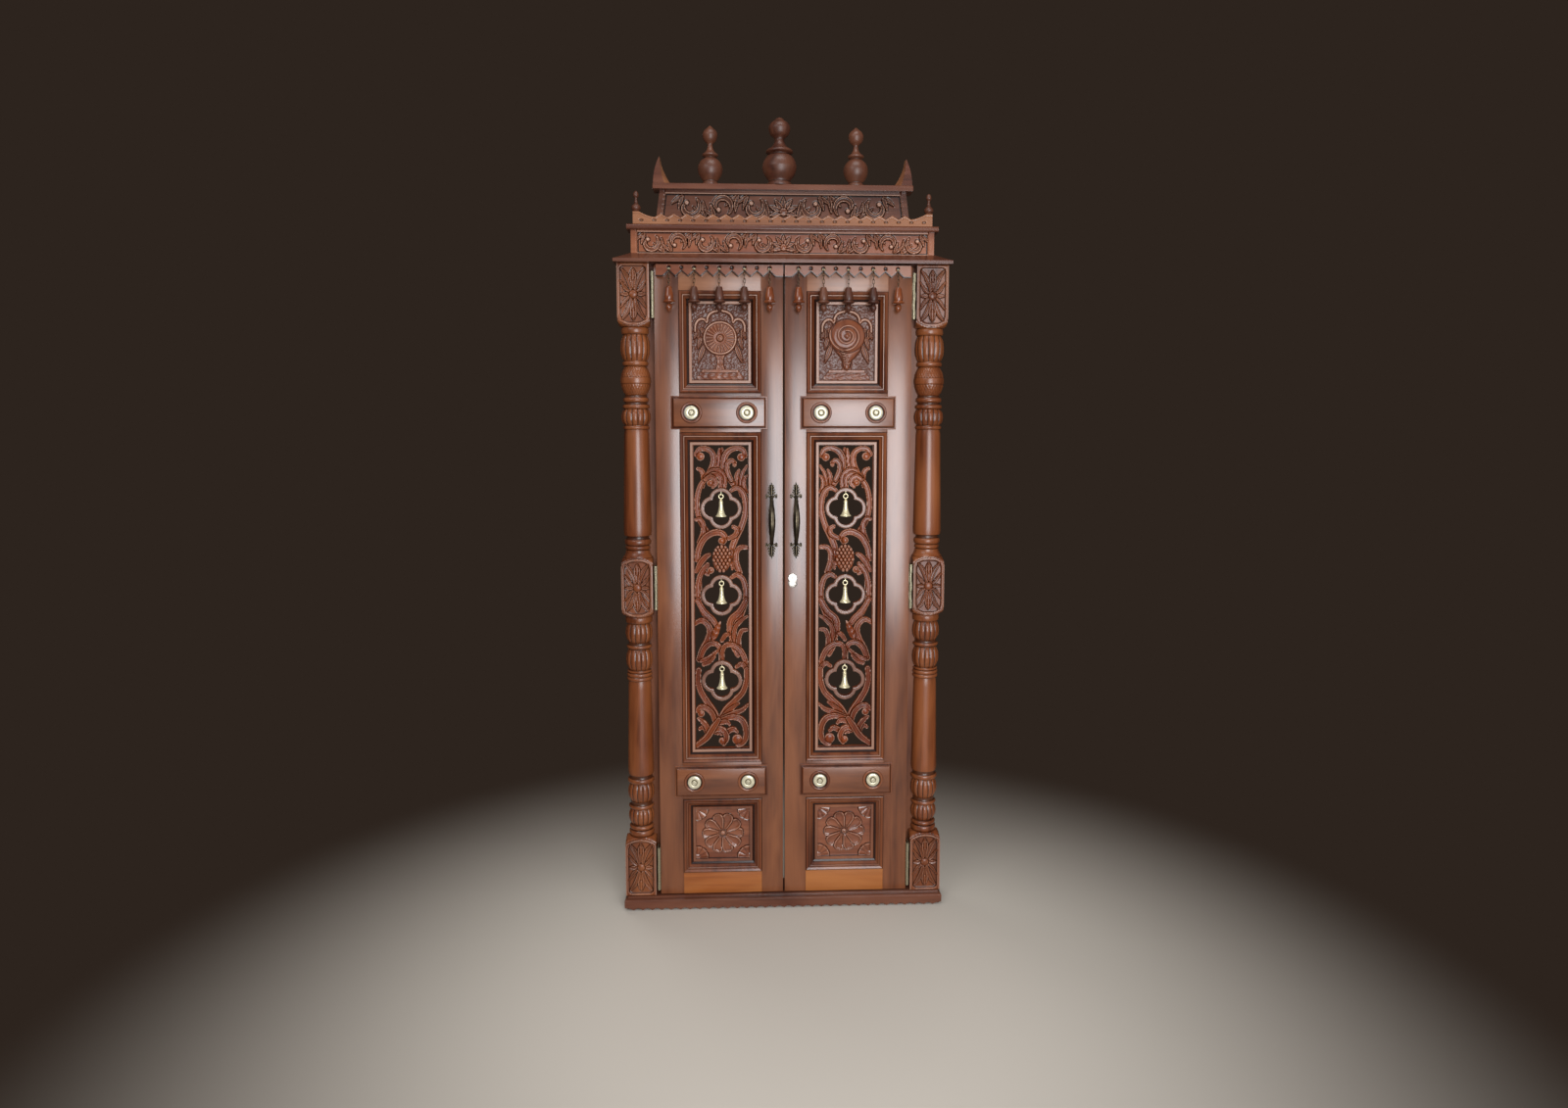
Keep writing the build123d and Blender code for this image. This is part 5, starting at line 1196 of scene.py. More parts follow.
def arch_and_leaves(work, middle):
    """The cusped arch, the leaves beside it and the pedestal."""
    top = GROUND
    for side in (-1, 1):
        for x, z, lean, length, width in SIDE_LEAVES:
            work.leaf(side * x, middle + z, -90 + side * lean, length, width, top + 4.6, rise=4.2,
                      veins=0, depth=2.8, groove=1.8, cross=CROSS_DISHED)
    for side in (-1, 1):
        work.stalk([(side * x, middle + z, half) for x, z, half in HALF_ARCH], top + 4.6, rise=3.0,
                   cross=CROSS_ROUND, depth=3.0, groove=1.8)
    work.knob(0, middle + 88, 5, top + 5, 3)
    work.stalk([(0, middle - 28, 14), (0, middle - 44, 8), (0, middle - 60, 8.5), (0, middle - 72, 12)],
               top + 3.8, rise=3.0, cross=CROSS_REEDED, depth=2.0)
    foot = work.window(-60, 60, work.z[0], middle - 72)
    x, rise = work.X[foot], work.Z[foot] - (middle - 98)
    shape = (np.abs(x) < 67 - rise * 0.8) & (rise > 0)
    drape = top + 2.6 + 0.8 * np.cos(x / 4.2 + 2.2 * np.sin(rise / 4)) * np.sin(rise / 3.3 + x / 9)
    work.height[foot] = np.where(shape, drape, work.height[foot])
    step = work.window(-47, 47, middle - 77, middle - 73.5)
    work.height[step] = top + 5.0


def carve_wheel():
    """The left top panel."""
    work = panel_board(TOP_SIGHT)
    middle = (TOP_SIGHT[0] + TOP_SIGHT[1]) / 2
    arch_and_leaves(work, middle)
    z = middle + 12
    work.knob(0, z, WHEEL_RADIUS, GROUND + 6.0, 5.0, cross=WHEEL_CROSS, depth=3.0)
    turn, far = np.arctan2(work.Z - z, work.X), np.hypot(work.X, work.Z - z)
    fade_in, fade_out = np.clip((far - 15) / 3, 0, 1), np.clip((38.5 - far) / 2, 0, 1)
    work.height -= 1.5 * (far < 39)
    work.height += 2.6 * (1 - np.abs(np.sin(WHEEL_RAYS / 2 * turn))) * fade_in * fade_out
    work.knob(0, z, 8.5, GROUND + 7.6, 4.6, depth=3.4, groove=2.6)
    return work


def carve_conch():
    """The right top panel, laid out from the panel's middle."""
    work = panel_board(TOP_SIGHT)
    middle = (TOP_SIGHT[0] + TOP_SIGHT[1]) / 2
    arch_and_leaves(work, middle)
    z = middle + 16
    work.stalk([(3, z - 20, 36), (3, z - 36, 26), (1, z - 52, 16), (0, z - 66, 11), (0, z - 80, 8)],
               GROUND + 5.0, rise=4.6, cross=CROSS_ROUND, depth=3.0)
    work.knob(0, z + 2, CONCH_RADIUS, GROUND + 6.4, 5.6, cross=CONCH_CROSS, depth=2.8, stretch=1.07)
    for k in range(CONCH_RIBS):
        low, left = z - 36 - 7 * k, -20 + 2.8 * k
        work.stalk([(left, low + 3, 1.0), (left + 8, low - 1, 1.4), (left + 16, low + 2, 1.0)],
                   GROUND + 5.6, rise=0.8, cross=CROSS_ROUND, depth=1.6, groove=1.6)
    turn, far = np.arctan2(work.Z - z - 3, work.X) + math.pi * 0.4, np.hypot(work.X, work.Z - z - 3)
    turn = np.where(turn > math.pi, turn - 2 * math.pi, turn)
    for lap in (0, 1):
        from_line = far - SPIRAL_FROM * np.exp(SPIRAL_GROWTH * (math.pi - turn + 2 * math.pi * lap))
        body = work.height > GROUND + 1.2
        work.height -= 2.4 * np.exp(-(from_line / 1.7) ** 2) * body
        work.height += 1.4 * np.exp(-((from_line - 4) / 2.4) ** 2) * body
    work.knob(0, z + 3, 7.0, GROUND + 8.6, 3.6, depth=1.0, groove=1.0)
    return work


chisel = np.random.default_rng(11)
top_panels = {"left": carve_wheel(), "right": carve_conch()}
for leaf, work in top_panels.items():
    marks = chisel.standard_normal(work.height.shape)
    for axis in (0, 1):
        marks = marks + np.roll(marks, 1, axis) + np.roll(marks, -1, axis)
    work.height += CHISEL_DEPTH * marks * (work.height < GROUND + 0.5)
    mesh = work.mesh(f"{leaf}_carved_top_panel", PANEL_BACK, side_of(leaf) * PANEL_X,
                     carve=panel_carve(work))
    add_piece(mesh, f"{leaf}_leaf", carved_teak, [f"{leaf}_top_panel"])
print("top panels carved:", len(mesh.vertices), "points each")

# %% [markdown]
# ## Bottom panels
#
# A flower of ten spoon-shaped petals fills each bottom panel, with a quarter of a shell in each corner.
# The petals are hollowed, so their edges catch the light, and the finish paints a highlight on their
# rims and shade in their dishes. The wood grain lies across here.

# %% Carve the bottom panels
PETALS, PETAL_LENGTH, PETAL_WIDTH = 10, 57, 31
SHELL_SIDE = 36


def spoon(work, x, z, turn, length, width, top, rise=5.2):
    """A petal hollowed like a spoon, widest near its round end."""
    reach = length + 4
    part = work.window(x - reach, x + reach, z - reach, z + reach)
    a = math.radians(turn)
    dx, dz = work.X[part] - x, work.Z[part] - z
    along, across = (dx * math.cos(a) + dz * math.sin(a)) / length, -dx * math.sin(a) + dz * math.cos(a)
    t = np.clip(along, 0, 1)
    half = width / 2 * np.interp(t, (0, 0.15, 0.4, 0.66, 0.82, 0.93, 0.985, 1),
                                 (0.16, 0.3, 0.66, 1, 0.98, 0.76, 0.36, 0.02))
    u = np.where((along < 0) | (along > 1), OUTSIDE, np.abs(across) / half)
    end = np.clip((1 - along) / 0.13, 0, 1)
    hollow = np.interp(np.maximum(u, 1 - end), (0, 0.5, 0.78, 0.9, 1), (0.34, 0.5, 1.0, 0.96, 0.2))
    vein = 0.5 * np.exp(-(across / 1.1) ** 2) * (along < 0.8)
    edge = np.where(u < OUTSIDE, np.abs(across) - half, FAR)
    work.lay(part, u, edge, top - rise * (1 - hollow) + vein, 2.6, 2.0, False)


def carve_flower():
    """The bottom panel's flower and corner shells."""
    work = panel_board(BOTTOM_SIGHT)
    middle = (BOTTOM_SIGHT[0] + BOTTOM_SIGHT[1]) / 2
    half = (BOTTOM_SIGHT[1] - BOTTOM_SIGHT[0]) / 2
    for side in (-1, 1):
        for up in (-1, 1):
            x, z = side * (SIGHT_HALF - 1), middle + up * (half - 1)
            part = work.window(*sorted((x, x - side * SHELL_SIDE)), *sorted((z, z - up * SHELL_SIDE)))
            r = np.hypot(work.X[part] - x, work.Z[part] - z)
            a = np.arctan2(np.abs(work.Z[part] - z), np.abs(work.X[part] - x))
            rib = np.abs(np.sin(a * 6)) ** 0.5
            shell = GROUND + 1.0 + 3.2 * np.clip(r / 30, 0, 1) * rib
            shell = np.where(r < 9, GROUND + 4.2 - 0.12 * r, shell)
            edge = 31 + 2.0 * rib
            sunk = work.height[part] - 1.6 * np.clip(1 - (r - edge) / 2.4, 0, 1)
            work.height[part] = np.where(r < edge, shell, sunk)
    for k in range(PETALS):
        spoon(work, 0, middle, 360 / PETALS * k, PETAL_LENGTH, PETAL_WIDTH, GROUND + 4.6)
    work.knob(0, middle, 11.5, GROUND - 0.4, 0.6)
    work.knob(0, middle, 6.5, GROUND + 5.8, 4.0, depth=0.2)
    return work


flower = carve_flower()
for leaf in ("left", "right"):
    mesh = flower.mesh(f"{leaf}_carved_bottom_panel", PANEL_BACK, side_of(leaf) * PANEL_X)
    add_piece(mesh, f"{leaf}_leaf", flower_teak, [f"{leaf}_bottom_panel"])
print("bottom panels carved:", len(mesh.vertices), "points each")

# %% [markdown]
# ## Turned and drawn pieces
#
# Finials, drops, bells and discs are all turned: a profile spun round an axis. Rings, chain links and
# grips are rods bent along a path. One helper makes each kind, and a third joins several shapes into
# one piece.

# %% Lathe and rod


def turned(profile, place, toward="up", steps=40):
    """Spin points of radius, height and carve value, which paints shade where low, about an upright or
    a forward axis.
    """
    ring = np.linspace(0, 2 * math.pi, steps, endpoint=False)
    x0, y0, z0 = place
    verts, carve = [], []
    for radius, height, *rest in profile:
        x, other = radius * np.cos(ring), radius * np.sin(ring)
        if toward == "up":
            circle = (x0 + x, y0 + other, np.full(steps, z0 + height))
        else:
            circle = (x0 + x, np.full(steps, y0 - height), z0 + other)
        verts.append(np.stack(circle, -1))
        carve += [rest[0] if rest else 1.0] * steps
    return np.concatenate(verts), ring_faces(len(profile), steps, capped=True), carve


def rod(path, radius, closed=False, steps=10):
    """A round rod along a path of points; radius may change along it."""
    path = np.asarray(path, float)
    count = len(path)
    radii = np.broadcast_to(radius, count)
    ahead = np.roll(path, -1, 0) - np.roll(path, 1, 0)
    if not closed:
        ahead[0], ahead[-1] = path[1] - path[0], path[-1] - path[-2]
    ahead /= np.linalg.norm(ahead, axis=1)[:, None]
    flat = np.linalg.svd(path - path.mean(0))[2][-1]
    side = np.cross(ahead, flat)
    side /= np.maximum(np.linalg.norm(side, axis=1)[:, None], 1e-9)
    ring = np.linspace(0, 2 * math.pi, steps, endpoint=False)
    other = np.cross(ahead, side)
    across, up = np.cos(ring)[:, None], np.sin(ring)[:, None]
    verts = [path[k] + radii[k] * (across * side[k] + up * other[k]) for k in range(count)]
    return np.concatenate(verts), ring_faces(count, steps, closed, not closed), [1.0] * (count * steps)


def loop(place, radius, wire, facing="front", height=None, steps=24, sides=10):
    """A closed ring or a longer link of wire, flat to the viewer or edge on."""
    ring = np.linspace(0, 2 * math.pi, steps, endpoint=False)
    straight = 0 if height is None else height / 2 - radius
    across, up = radius * np.cos(ring), radius * np.sin(ring)
    up = up + np.where(np.sin(ring) > 1e-6, straight, np.where(np.sin(ring) < -1e-6, -straight, 0))
    zero = np.zeros(steps)
    path = {"front": (across, zero, up), "side": (zero, across, up),
            "level": (across, up, zero)}[facing]
    return rod(np.stack(path, -1) + np.asarray(place), wire, True, sides)


TURNED_SHARP = 40


def joined_shape(name, parts):
    """One mesh from several shapes."""
    verts, faces, carve, start = [], [], [], 0
    for v, f, c in parts:
        verts.append(v)
        faces += [tuple(start + k for k in face) for face in f]
        carve += list(c)
        start += len(v)
    return make_mesh(name, np.concatenate(verts), faces, carve, TURNED_SHARP)


def eased(points, step=1.2):
    """A turned profile rounded through its points; the third value is the carve value, which paints
    shade on wood and dulls a metal's hollows.
    """
    given = [(p[0], p[1], p[2] if len(p) > 2 else 1.0) for p in points]
    path = smooth_path(given, step)
    path[:, 0] = np.maximum(path[:, 0], 0.15)
    path[:, 2] = np.clip(path[:, 2], 0, 1)
    return path.tolist()


print("lathe and rod ready")

# %% [markdown]
# ## Raised blocks and brass discs
#
# Two plain blocks bridge each leaf's rails. A hollow runs round the edge of each, and its dark shadow,
# deepened by painted shade, frames the plain field. On each block sit two pale brass discs in turned
# rings.

# %% Make the blocks
BLOCK_THICK = 12.0
# Low third values paint shade in the hollow, high ones a faint highlight on the rims.
BLOCK_EDGE = ((0, 0, 0.5), (0, 3.4, 0.9), (1.0, 4.3, 1), (2.6, 4.6, 0.7), (3.4, 4.7, 0.2),
              (4.6, 6.6, 0.3), (6.4, 9.6, 0.45), (8.0, 11.4, 0.6), (8.6, 11.9, 0.9), (10.0, 12.0, 1.0))
# Low third values paint shade at the ring's foot and in the groove round the disc.
SEAT = ((28.6, -1, 0.1), (28.6, 0.1, 0.1), (27.9, 1.4, 0.6), (26.4, 2.4, 0.9), (24.8, 2.7, 0.95),
        (22.8, 2.2, 0.7), (21.2, 1.1, 0.4), (20.2, 0.3, 0.0), (19.2, 0.1, 0.0), (4.0, 0.1, 0.0))
DISC = ((18.0, -1.5), (18.0, 1.2), (17.4, 2.4), (15.6, 3.2), (12, 3.8), (8.6, 3.2), (8.2, 2.6, 0.2),
        (7.0, 2.5, 0.1),
        (6.4, 3.4, 0.5), (6.0, 5.0), (5.0, 6.2), (3.4, 6.6), (2.8, 6.2, 0.3), (1.6, 6.3), (0.2, 6.3))
ROUNDEL_SPACING = 147.0
block_zs = [(BOTTOM_OPENING[1] + JALI_OPENING[0]) / 2, (JALI_OPENING[1] + TOP_OPENING[0]) / 2]
block_x = span("right_raised_blocks", 0)
block_half = (span("right_raised_blocks", 2)[1] - block_zs[1])
for leaf in ("right", "left"):
    side = side_of(leaf)
    x0, x1 = mirrored_span(side, *block_x)
    discs, seats = [], []
    for k, z in enumerate(block_zs):
        rows = [(inset, LEAF_FRONT - level, carve) for inset, level, carve in BLOCK_EDGE]
        ring = mitred(f"{leaf}_block_edge_{k + 1}", x0, x1, z - block_half, z + block_half, rows)
        add_piece(ring, f"{leaf}_leaf", low_moulded_teak, [f"{leaf}_raised_blocks"])
        field = board(f"{leaf}_block_field_{k + 1}",
                      (x0 + 8.4, LEAF_FRONT - BLOCK_THICK, z - block_half + 8.4),
                      (x1 - 8.4, LEAF_FRONT, z + block_half - 8.4), 0.5)
        add_piece(field, f"{leaf}_leaf", stile_across, [f"{leaf}_raised_blocks"])
        for turn in (-1, 1):
            place = ((x0 + x1) / 2 + turn * ROUNDEL_SPACING / 2, LEAF_FRONT - BLOCK_THICK, z)
            seats.append(turned(SEAT, place, "front", 56))
            discs.append(turned(eased(DISC, 0.6), place, "front", 48))
    add_piece(joined_shape(f"{leaf}_disc_seats", seats), f"{leaf}_leaf", low_moulded_teak,
              [f"{leaf}_raised_blocks"])
    add_piece(joined_shape(f"{leaf}_brass_discs", discs), f"{leaf}_leaf", disc_brass,
              [f"{leaf}_roundels"])
print("blocks and discs made")

# %% [markdown]
# ## Valance and hanging drops
#
# A thin board with a row of notches crosses each leaf's head. Above every notch is a bored dot, and
# below every second one a turned drop hangs on five links of chain. A shallow line follows the notched
# edge, and shade is painted along that edge and round the dots.

# %% Cut the valance and hang the drops
VALANCE_FRONT = span("right_valance", 1)[0]
VALANCE_FOOT = span("right_valance", 2)[0]
NOTCHES = [38.0 + 32.9 * k for k in range(9)]
NOTCH_DEPTH, NOTCH_HALF, NOTCH_LEAN = 14.0, 15.6, 0.67
HOLE_UNDER = 8.0


def carve_valance():
    """The right leaf's notched strip."""
    low, high = span("right_valance", 0)
    work = Relief((low, VALANCE_FOOT), (high, LEAF_HEAD), 1.3, LEAF_FRONT - VALANCE_FRONT)
    edge = work.Z * 0 + 99
    for x in NOTCHES:
        slope = (NOTCH_DEPTH - (work.Z - VALANCE_FOOT)) / NOTCH_DEPTH * NOTCH_HALF - np.abs(work.X - x)
        edge = np.minimum(edge, -slope * NOTCH_LEAN)
    work.wood = np.minimum(np.minimum(edge, 30), work.wood)
    foot = work.Z - VALANCE_FOOT
    near = np.minimum(edge, foot + 0.5)
    # Painted shade: a dark line along the notched edge and the foot.
    work.tone = np.interp(near, (0, 1.7, 2.8), (0.0, 0.05, 0.58))
    work.height -= np.interp(near, (0, 0.8, 1.6), (0.3, 0.1, 0.0))
    for x in NOTCHES:
        hole = np.hypot(work.X - x, work.Z - (LEAF_HEAD - HOLE_UNDER))
        work.height -= np.interp(hole, (0, 4.2, 5.0), (4.0, 3.6, 0.0))
        # Painted shade round each bored dot.
        work.tone = np.minimum(work.tone, np.interp(hole, (4.6, 5.6), (0.1, 0.58)))
    return work


valance = carve_valance()
for leaf in ("right", "left"):
    mesh = valance.mesh(f"{leaf}_notched_valance", LEAF_FRONT, 0, flip=leaf == "left",
                        carve=valance.tone)
    add_piece(mesh, f"{leaf}_leaf", carved_across, [f"{leaf}_valance"])

DROP_LOWER, DROP_HIGH = 19.0, 66.0
LINKS, LINK_HALF, LINK_WIRE, LINK_LAP = 5, 2.5, 0.7, 2.4
# Low third values paint shade in the drop's necks.
DROP = ((0.3, 0), (3.4, 2.4), (7.4, 8.0), (8.6, 12.5), (7.6, 17.0, 0.7), (5.4, 20.6, 0.3),
        (6.2, 21.8, 0.4), (10.6, 23.0, 0.8),
        (15.2, 25.0), (16.0, 27.2), (14.6, 29.4), (11.8, 31.0, 0.5), (11.6, 32.4, 0.4), (12.2, 36.0),
        (11.8, 43.0), (10.4, 51.0), (9.0, 58.0), (7.8, 63.0), (6.0, 65.6), (2.2, 66.0), (0.4, 66.0))
for leaf in ("right", "left"):
    for k in range(5):
        name = f"{leaf}_drop_{k + 1}"
        x, y = centre_of(name, 0), centre_of(name, 1)
        foot, top = span(name, 2)
        foot -= DROP_LOWER
        length = (top - foot - DROP_HIGH) / LINKS
        links = [loop((x, y, top - length * (link + 0.5)), LINK_HALF, LINK_WIRE,
                      ("side", "front")[link % 2], length + LINK_LAP, 16, 8) for link in range(LINKS)]
        add_piece(joined_shape(f"{name}_chain", links), name, dark_brass, [name])
        body = joined_shape(f"{name}_turned", [turned(eased(DROP, 1.7), (x, y, foot), steps=30)])
        add_piece(body, name, (finial_teak, drop_teak)[k in (0, 4)], [name])
print("drops hung:", len(body.vertices), "points each")

# %% [markdown]
# ## Bells
#
# In each quatrefoil hangs a small brass bell. It is spun from its drawing: a thick ring, a slim waist,
# a flared lip with a bead, and a hollow inside where the clapper hangs.

# %% Cast the bells
BELL = ((0.3, 47.2), (2.4, 47.0), (3.8, 45.6), (4.2, 44.2), (3.4, 43.2, 0.5), (3.7, 42.4, 0.5),
        (5.0, 41.4), (5.4, 39.6), (5.2, 35.0),
        (5.6, 28.0), (6.4, 22.0), (7.6, 16.0), (8.6, 12.4), (9.4, 11.2), (9.2, 10.0, 0.6), (10.0, 8.6),
        (11.4, 5.6),
        (13.4, 3.2), (14.8, 1.8), (15.0, 0.6), (14.4, 0.0), (13.0, 0.4, 0.2), (11.0, 3.4, 0.1),
        (8.6, 8.0, 0.0), (6.2, 16.0, 0.0), (4.4, 30.0, 0.0), (0.3, 40.0, 0.0))
BELL_RING = (54.6, 6.0, 1.6)
TONGUE = ((0.9, 8), (0.9, 38))
TONGUE_BALL = ((0.2, 2.8), (2.2, 3.7), (3.2, 6.0), (2.2, 8.3), (0.9, 9.2))
for leaf in ("right", "left"):
    for k in range(3):
        name = f"{leaf}_bell_{k + 1}"
        x, y, foot = centre_of(name, 0), centre_of(name, 1), span(name, 2)[0]
        shell = turned(eased(BELL, 1.0)[::-1], (x, y, foot), steps=44)
        ring_up, ring_radius, ring_wire = BELL_RING
        ring = loop((x, y, foot + ring_up), ring_radius, ring_wire, "front", steps=32, sides=12)
        tongue = turned(TONGUE, (x, y, foot), steps=8)
        ball = turned(eased(TONGUE_BALL, 0.8), (x, y, foot), steps=16)
        mesh = joined_shape(f"{name}_cast", [shell, ring, tongue, ball])
        add_piece(mesh, name, pale_brass, [name])
print("bells cast:", len(mesh.vertices), "points each")

# %% [markdown]
# ## Handles and lock
#
# The pull handles are cast in dark brass: a bowed grip with ridges, and at each end a spray of leaflets
# over two curls. The carver's block makes the sprays as well, because they are low reliefs. The lock
# shows a turned rosette round its keyhole.

# %% Cast the handles
HANDLE_X = centre_of("right_handle", 0)
HANDLE_Z = centre_of("right_handle", 2)
HANDLE_HALF = (span("right_handle", 2)[1] - span("right_handle", 2)[0]) / 2


def carve_handle_leaf():
    """The leaf at the handle's upper end, its tip at z = 0 and its foot below."""
    work = Relief((-16, -56), (16, 1), 0.7, 1.0, solid=False)
    for side in (-1, 1):
        work.stalk([(0, -44, 2.4), (side * 7, -39, 2.4), (side * 13, -35, 2.0), (side * 15.5, -40, 1.6),
                    (side * 12, -43, 1.3)],
                   5.2, rise=2.6, cross=CROSS_ROUND, opened=True, depth=0.6, groove=0.8)
        work.knob(side * 12.5, -41, 2.0, 5.8, 2.0, opened=True, depth=0.5, groove=0.6)
        for k, (z, length) in enumerate(((-36, 15), (-28, 13), (-20, 11), (-13, 8))):
            work.leaf(0, z, 90 - side * 48, length, 5.2, 5.4, rise=2.6, veins=0, opened=True, depth=0.6,
                      groove=0.8)
    work.leaf(0, -42, 90, 42, 8, 6.2, rise=3.0, veins=0, opened=True, depth=0.6, groove=0.8)
    work.knob(0, -45, 4.0, 6.6, 3.4, opened=True)
    work.leaf(0, -42, -90, 13, 8, 5.8, rise=2.6, veins=0, opened=True, depth=0.6, groove=0.8)
    return work


GRIP_RINGS = ((1.7, 0.93, 0.035), (1.2, 0.80, 0.025))
GRIP_RIDGES, RIDGE_SHARE, GRIP_FLAT = 7, 0.07, 0.62


def grip(x):
    """The bowed grip, a ridged bar that swells in its middle."""
    count, steps = 64, 28
    t = np.linspace(-1, 1, count)
    z = HANDLE_Z + t * (HANDLE_HALF - 37)
    y = LEAF_FRONT - 5.0 - 21.5 * (1 - np.abs(t) ** 2.4)
    wide = 3.2 + 5.6 * np.cos(t * math.pi / 2) ** 1.3
    for swell, at, width in GRIP_RINGS:
        wide += swell * np.exp(-((np.abs(t) - at) / width) ** 2)
    ring = np.linspace(0, 2 * math.pi, steps, endpoint=False)
    ridges = 1 + RIDGE_SHARE * np.cos(GRIP_RIDGES * ring)
    dz, dy = np.gradient(z), np.gradient(y)
    run = np.hypot(dz, dy)
    verts, carve = [], []
    for k in range(count):
        across, out = wide[k] * ridges * np.cos(ring), GRIP_FLAT * wide[k] * ridges * np.sin(ring)
        around = [x + across, y[k] - out * dz[k] / run[k], z[k] + out * dy[k] / run[k]]
        verts.append(np.stack(around, -1))
        # Painted highlight: the grip's ridges and its middle are painted bright, the rest dull.
        highlight_share = (0.5 + 0.5 * np.cos(GRIP_RIDGES * ring)) * (0.4 + 0.6 * np.cos(t[k] * math.pi / 2))
        carve.append(0.35 + 0.65 * highlight_share)
    return np.concatenate(verts), ring_faces(count, steps, capped=True), np.concatenate(carve)


leaf_work = carve_handle_leaf()
for leaf in ("right", "left"):
    x = side_of(leaf) * HANDLE_X
    mesh = joined_shape(f"{leaf}_handle_grip", [grip(x)])
    add_piece(mesh, f"{leaf}_leaf", dark_brass, [f"{leaf}_handle"])
    for end, up in (("upper", 1), ("lower", -1)):
        mesh = leaf_work.mesh(f"{leaf}_handle_{end}_leaf", LEAF_FRONT, 0)
        for vert in mesh.vertices:
            vert.co.x += x * MM
            vert.co.z = HANDLE_Z * MM + up * (HANDLE_HALF * MM + vert.co.z)
        if up < 0:
            mesh.flip_normals()
        add_piece(mesh, f"{leaf}_leaf", dark_brass, [f"{leaf}_handle"])

lock_x, lock_z = centre_of("lock_plug", 0), centre_of("lock_plug", 2)
lock_front = span("lock_cylinder", 1)[0]
ROSETTE = ((12.4, 0), (12.4, 2.0), (11.8, 3.2), (10.6, 3.8), (9.4, 3.6), (8.8, 2.6), (8.6, 1.4),
           (6.3, 1.2), (6.2, 0.2))
rosette = turned(eased(ROSETTE, 0.5), (lock_x, lock_front + 4.0, lock_z), "front", 48)
mesh = joined_shape("lock_rosette", [rosette])
add_piece(mesh, "right_leaf", lock_steel)
print("handles and lock made")

# %% [markdown]
# ## Friezes
#
# Two carved friezes rise over the door: running scrolls with leaves between them, which start from a
# palmette in the middle and turn alternately up and down. The upper frieze is narrower at its head.

# %% Carve the friezes


def scroll(work, x, z, radius, turn, side, top):
    """One rolled stalk with its leaves; turn is 1 where it rolls upwards."""
    path = []
    for k in range(20):
        t = k / 19
        a = math.radians(225 - 275 * t) if turn > 0 else math.radians(135 + 275 * t)
        r = radius * (0.88 - 0.50 * t ** 1.7)
        path.append((x + side * r * math.cos(a), z + r * math.sin(a),
                     radius * (0.06 + 0.19 * math.sin(math.pi * t ** 0.9))))
    work.stalk(path, (top, top + 1.2), rise=4.4, cross=CROSS_DISHED, depth=2.6, groove=1.8)
    work.knob(path[-1][0], path[-1][1], radius * 0.2, top + 1.6, 3.8, groove=1.4)
    for lean, length in ((24, 1.3), (58, 1.25)):
        a = lean if turn > 0 else -lean
        work.leaf(x + side * radius * 0.5, z - turn * radius * 0.9, a if side > 0 else 180 - a,
                  radius * length, radius * 0.34,
                  top + 0.4, rise=4, veins=0, curl=0.2 * turn * side, cross=CROSS_DISHED)


def running_scrolls(work, centres, z, radius, top):
    """Scrolls on both sides of a palmette in the middle."""
    for side in (-1, 1):
        for k, x in reversed(list(enumerate(centres))):
            turn = 1 if k % 2 else -1
            gap = (centres[k] - (centres[k - 1] if k else 0)) / 2
            for lean in (30, 70):
                work.leaf(side * (x - gap * 1.05), z + turn * radius * 0.95,
                          -turn * lean if side > 0 else 180 + turn * lean,
                          radius * 1.5, radius * 0.38, top - 0.4, rise=4, veins=0,
                          curl=-0.16 * turn * side, cross=CROSS_DISHED)
            scroll(work, side * x, z, radius, turn, side, top)
    for k in range(7):
        a = math.radians(-15 + 35 * k)
        work.leaf(0, z - radius * 0.4, math.degrees(a), radius * 1.3, radius * 0.46, top + 0.6, rise=4,
                  veins=0, cross=CROSS_DISHED)
    work.knob(0, z - radius * 0.4, radius * 0.34, top + 1.2, 3.4, lobes=6, lobe_depth=0.6)


LOWER_CENTRES = (58, 134, 208, 282, 352)
UPPER_CENTRES = (78, 164, 248)
FRIEZE_CUT = 5.0
UPPER_TAPER = 12.0
LOWER_FOOT, LOWER_HEAD = span("lower_frieze", 2)
LOWER_FRONT, LOWER_BACK = span("lower_frieze", 1)
LOWER_HALF = span("lower_frieze", 0)[1]
UPPER_FOOT, UPPER_HEAD = span("upper_frieze", 2)
UPPER_FRONT, UPPER_BACK = span("upper_frieze", 1)
UPPER_HALF = span("upper_frieze", 0)[1]


def carve_lower():
    """The lower frieze with its plain end blocks."""
    deep = LOWER_BACK - LOWER_FRONT
    work = Relief((-LOWER_HALF, LOWER_FOOT), (LOWER_HALF, LOWER_HEAD), 1.5, deep)
    low, high = LOWER_FOOT + 3, LOWER_HEAD - 5
    field = (np.abs(work.X) < LOWER_HALF - 18) & (work.Z > low) & (work.Z < high)
    work.height[field] = deep - FRIEZE_CUT
    z, radius = (low + high) / 2, (high - low) / 2 - 0.5
    running_scrolls(work, LOWER_CENTRES, z, radius, deep - 0.6)
    work.height = np.where(np.abs(work.X) > LOWER_HALF - 17, deep, work.height)
    work.height -= np.where((np.abs(np.abs(work.X) - LOWER_HALF + 15.5) < 0.9) & (work.Z > low), 1.2, 0)
    return work


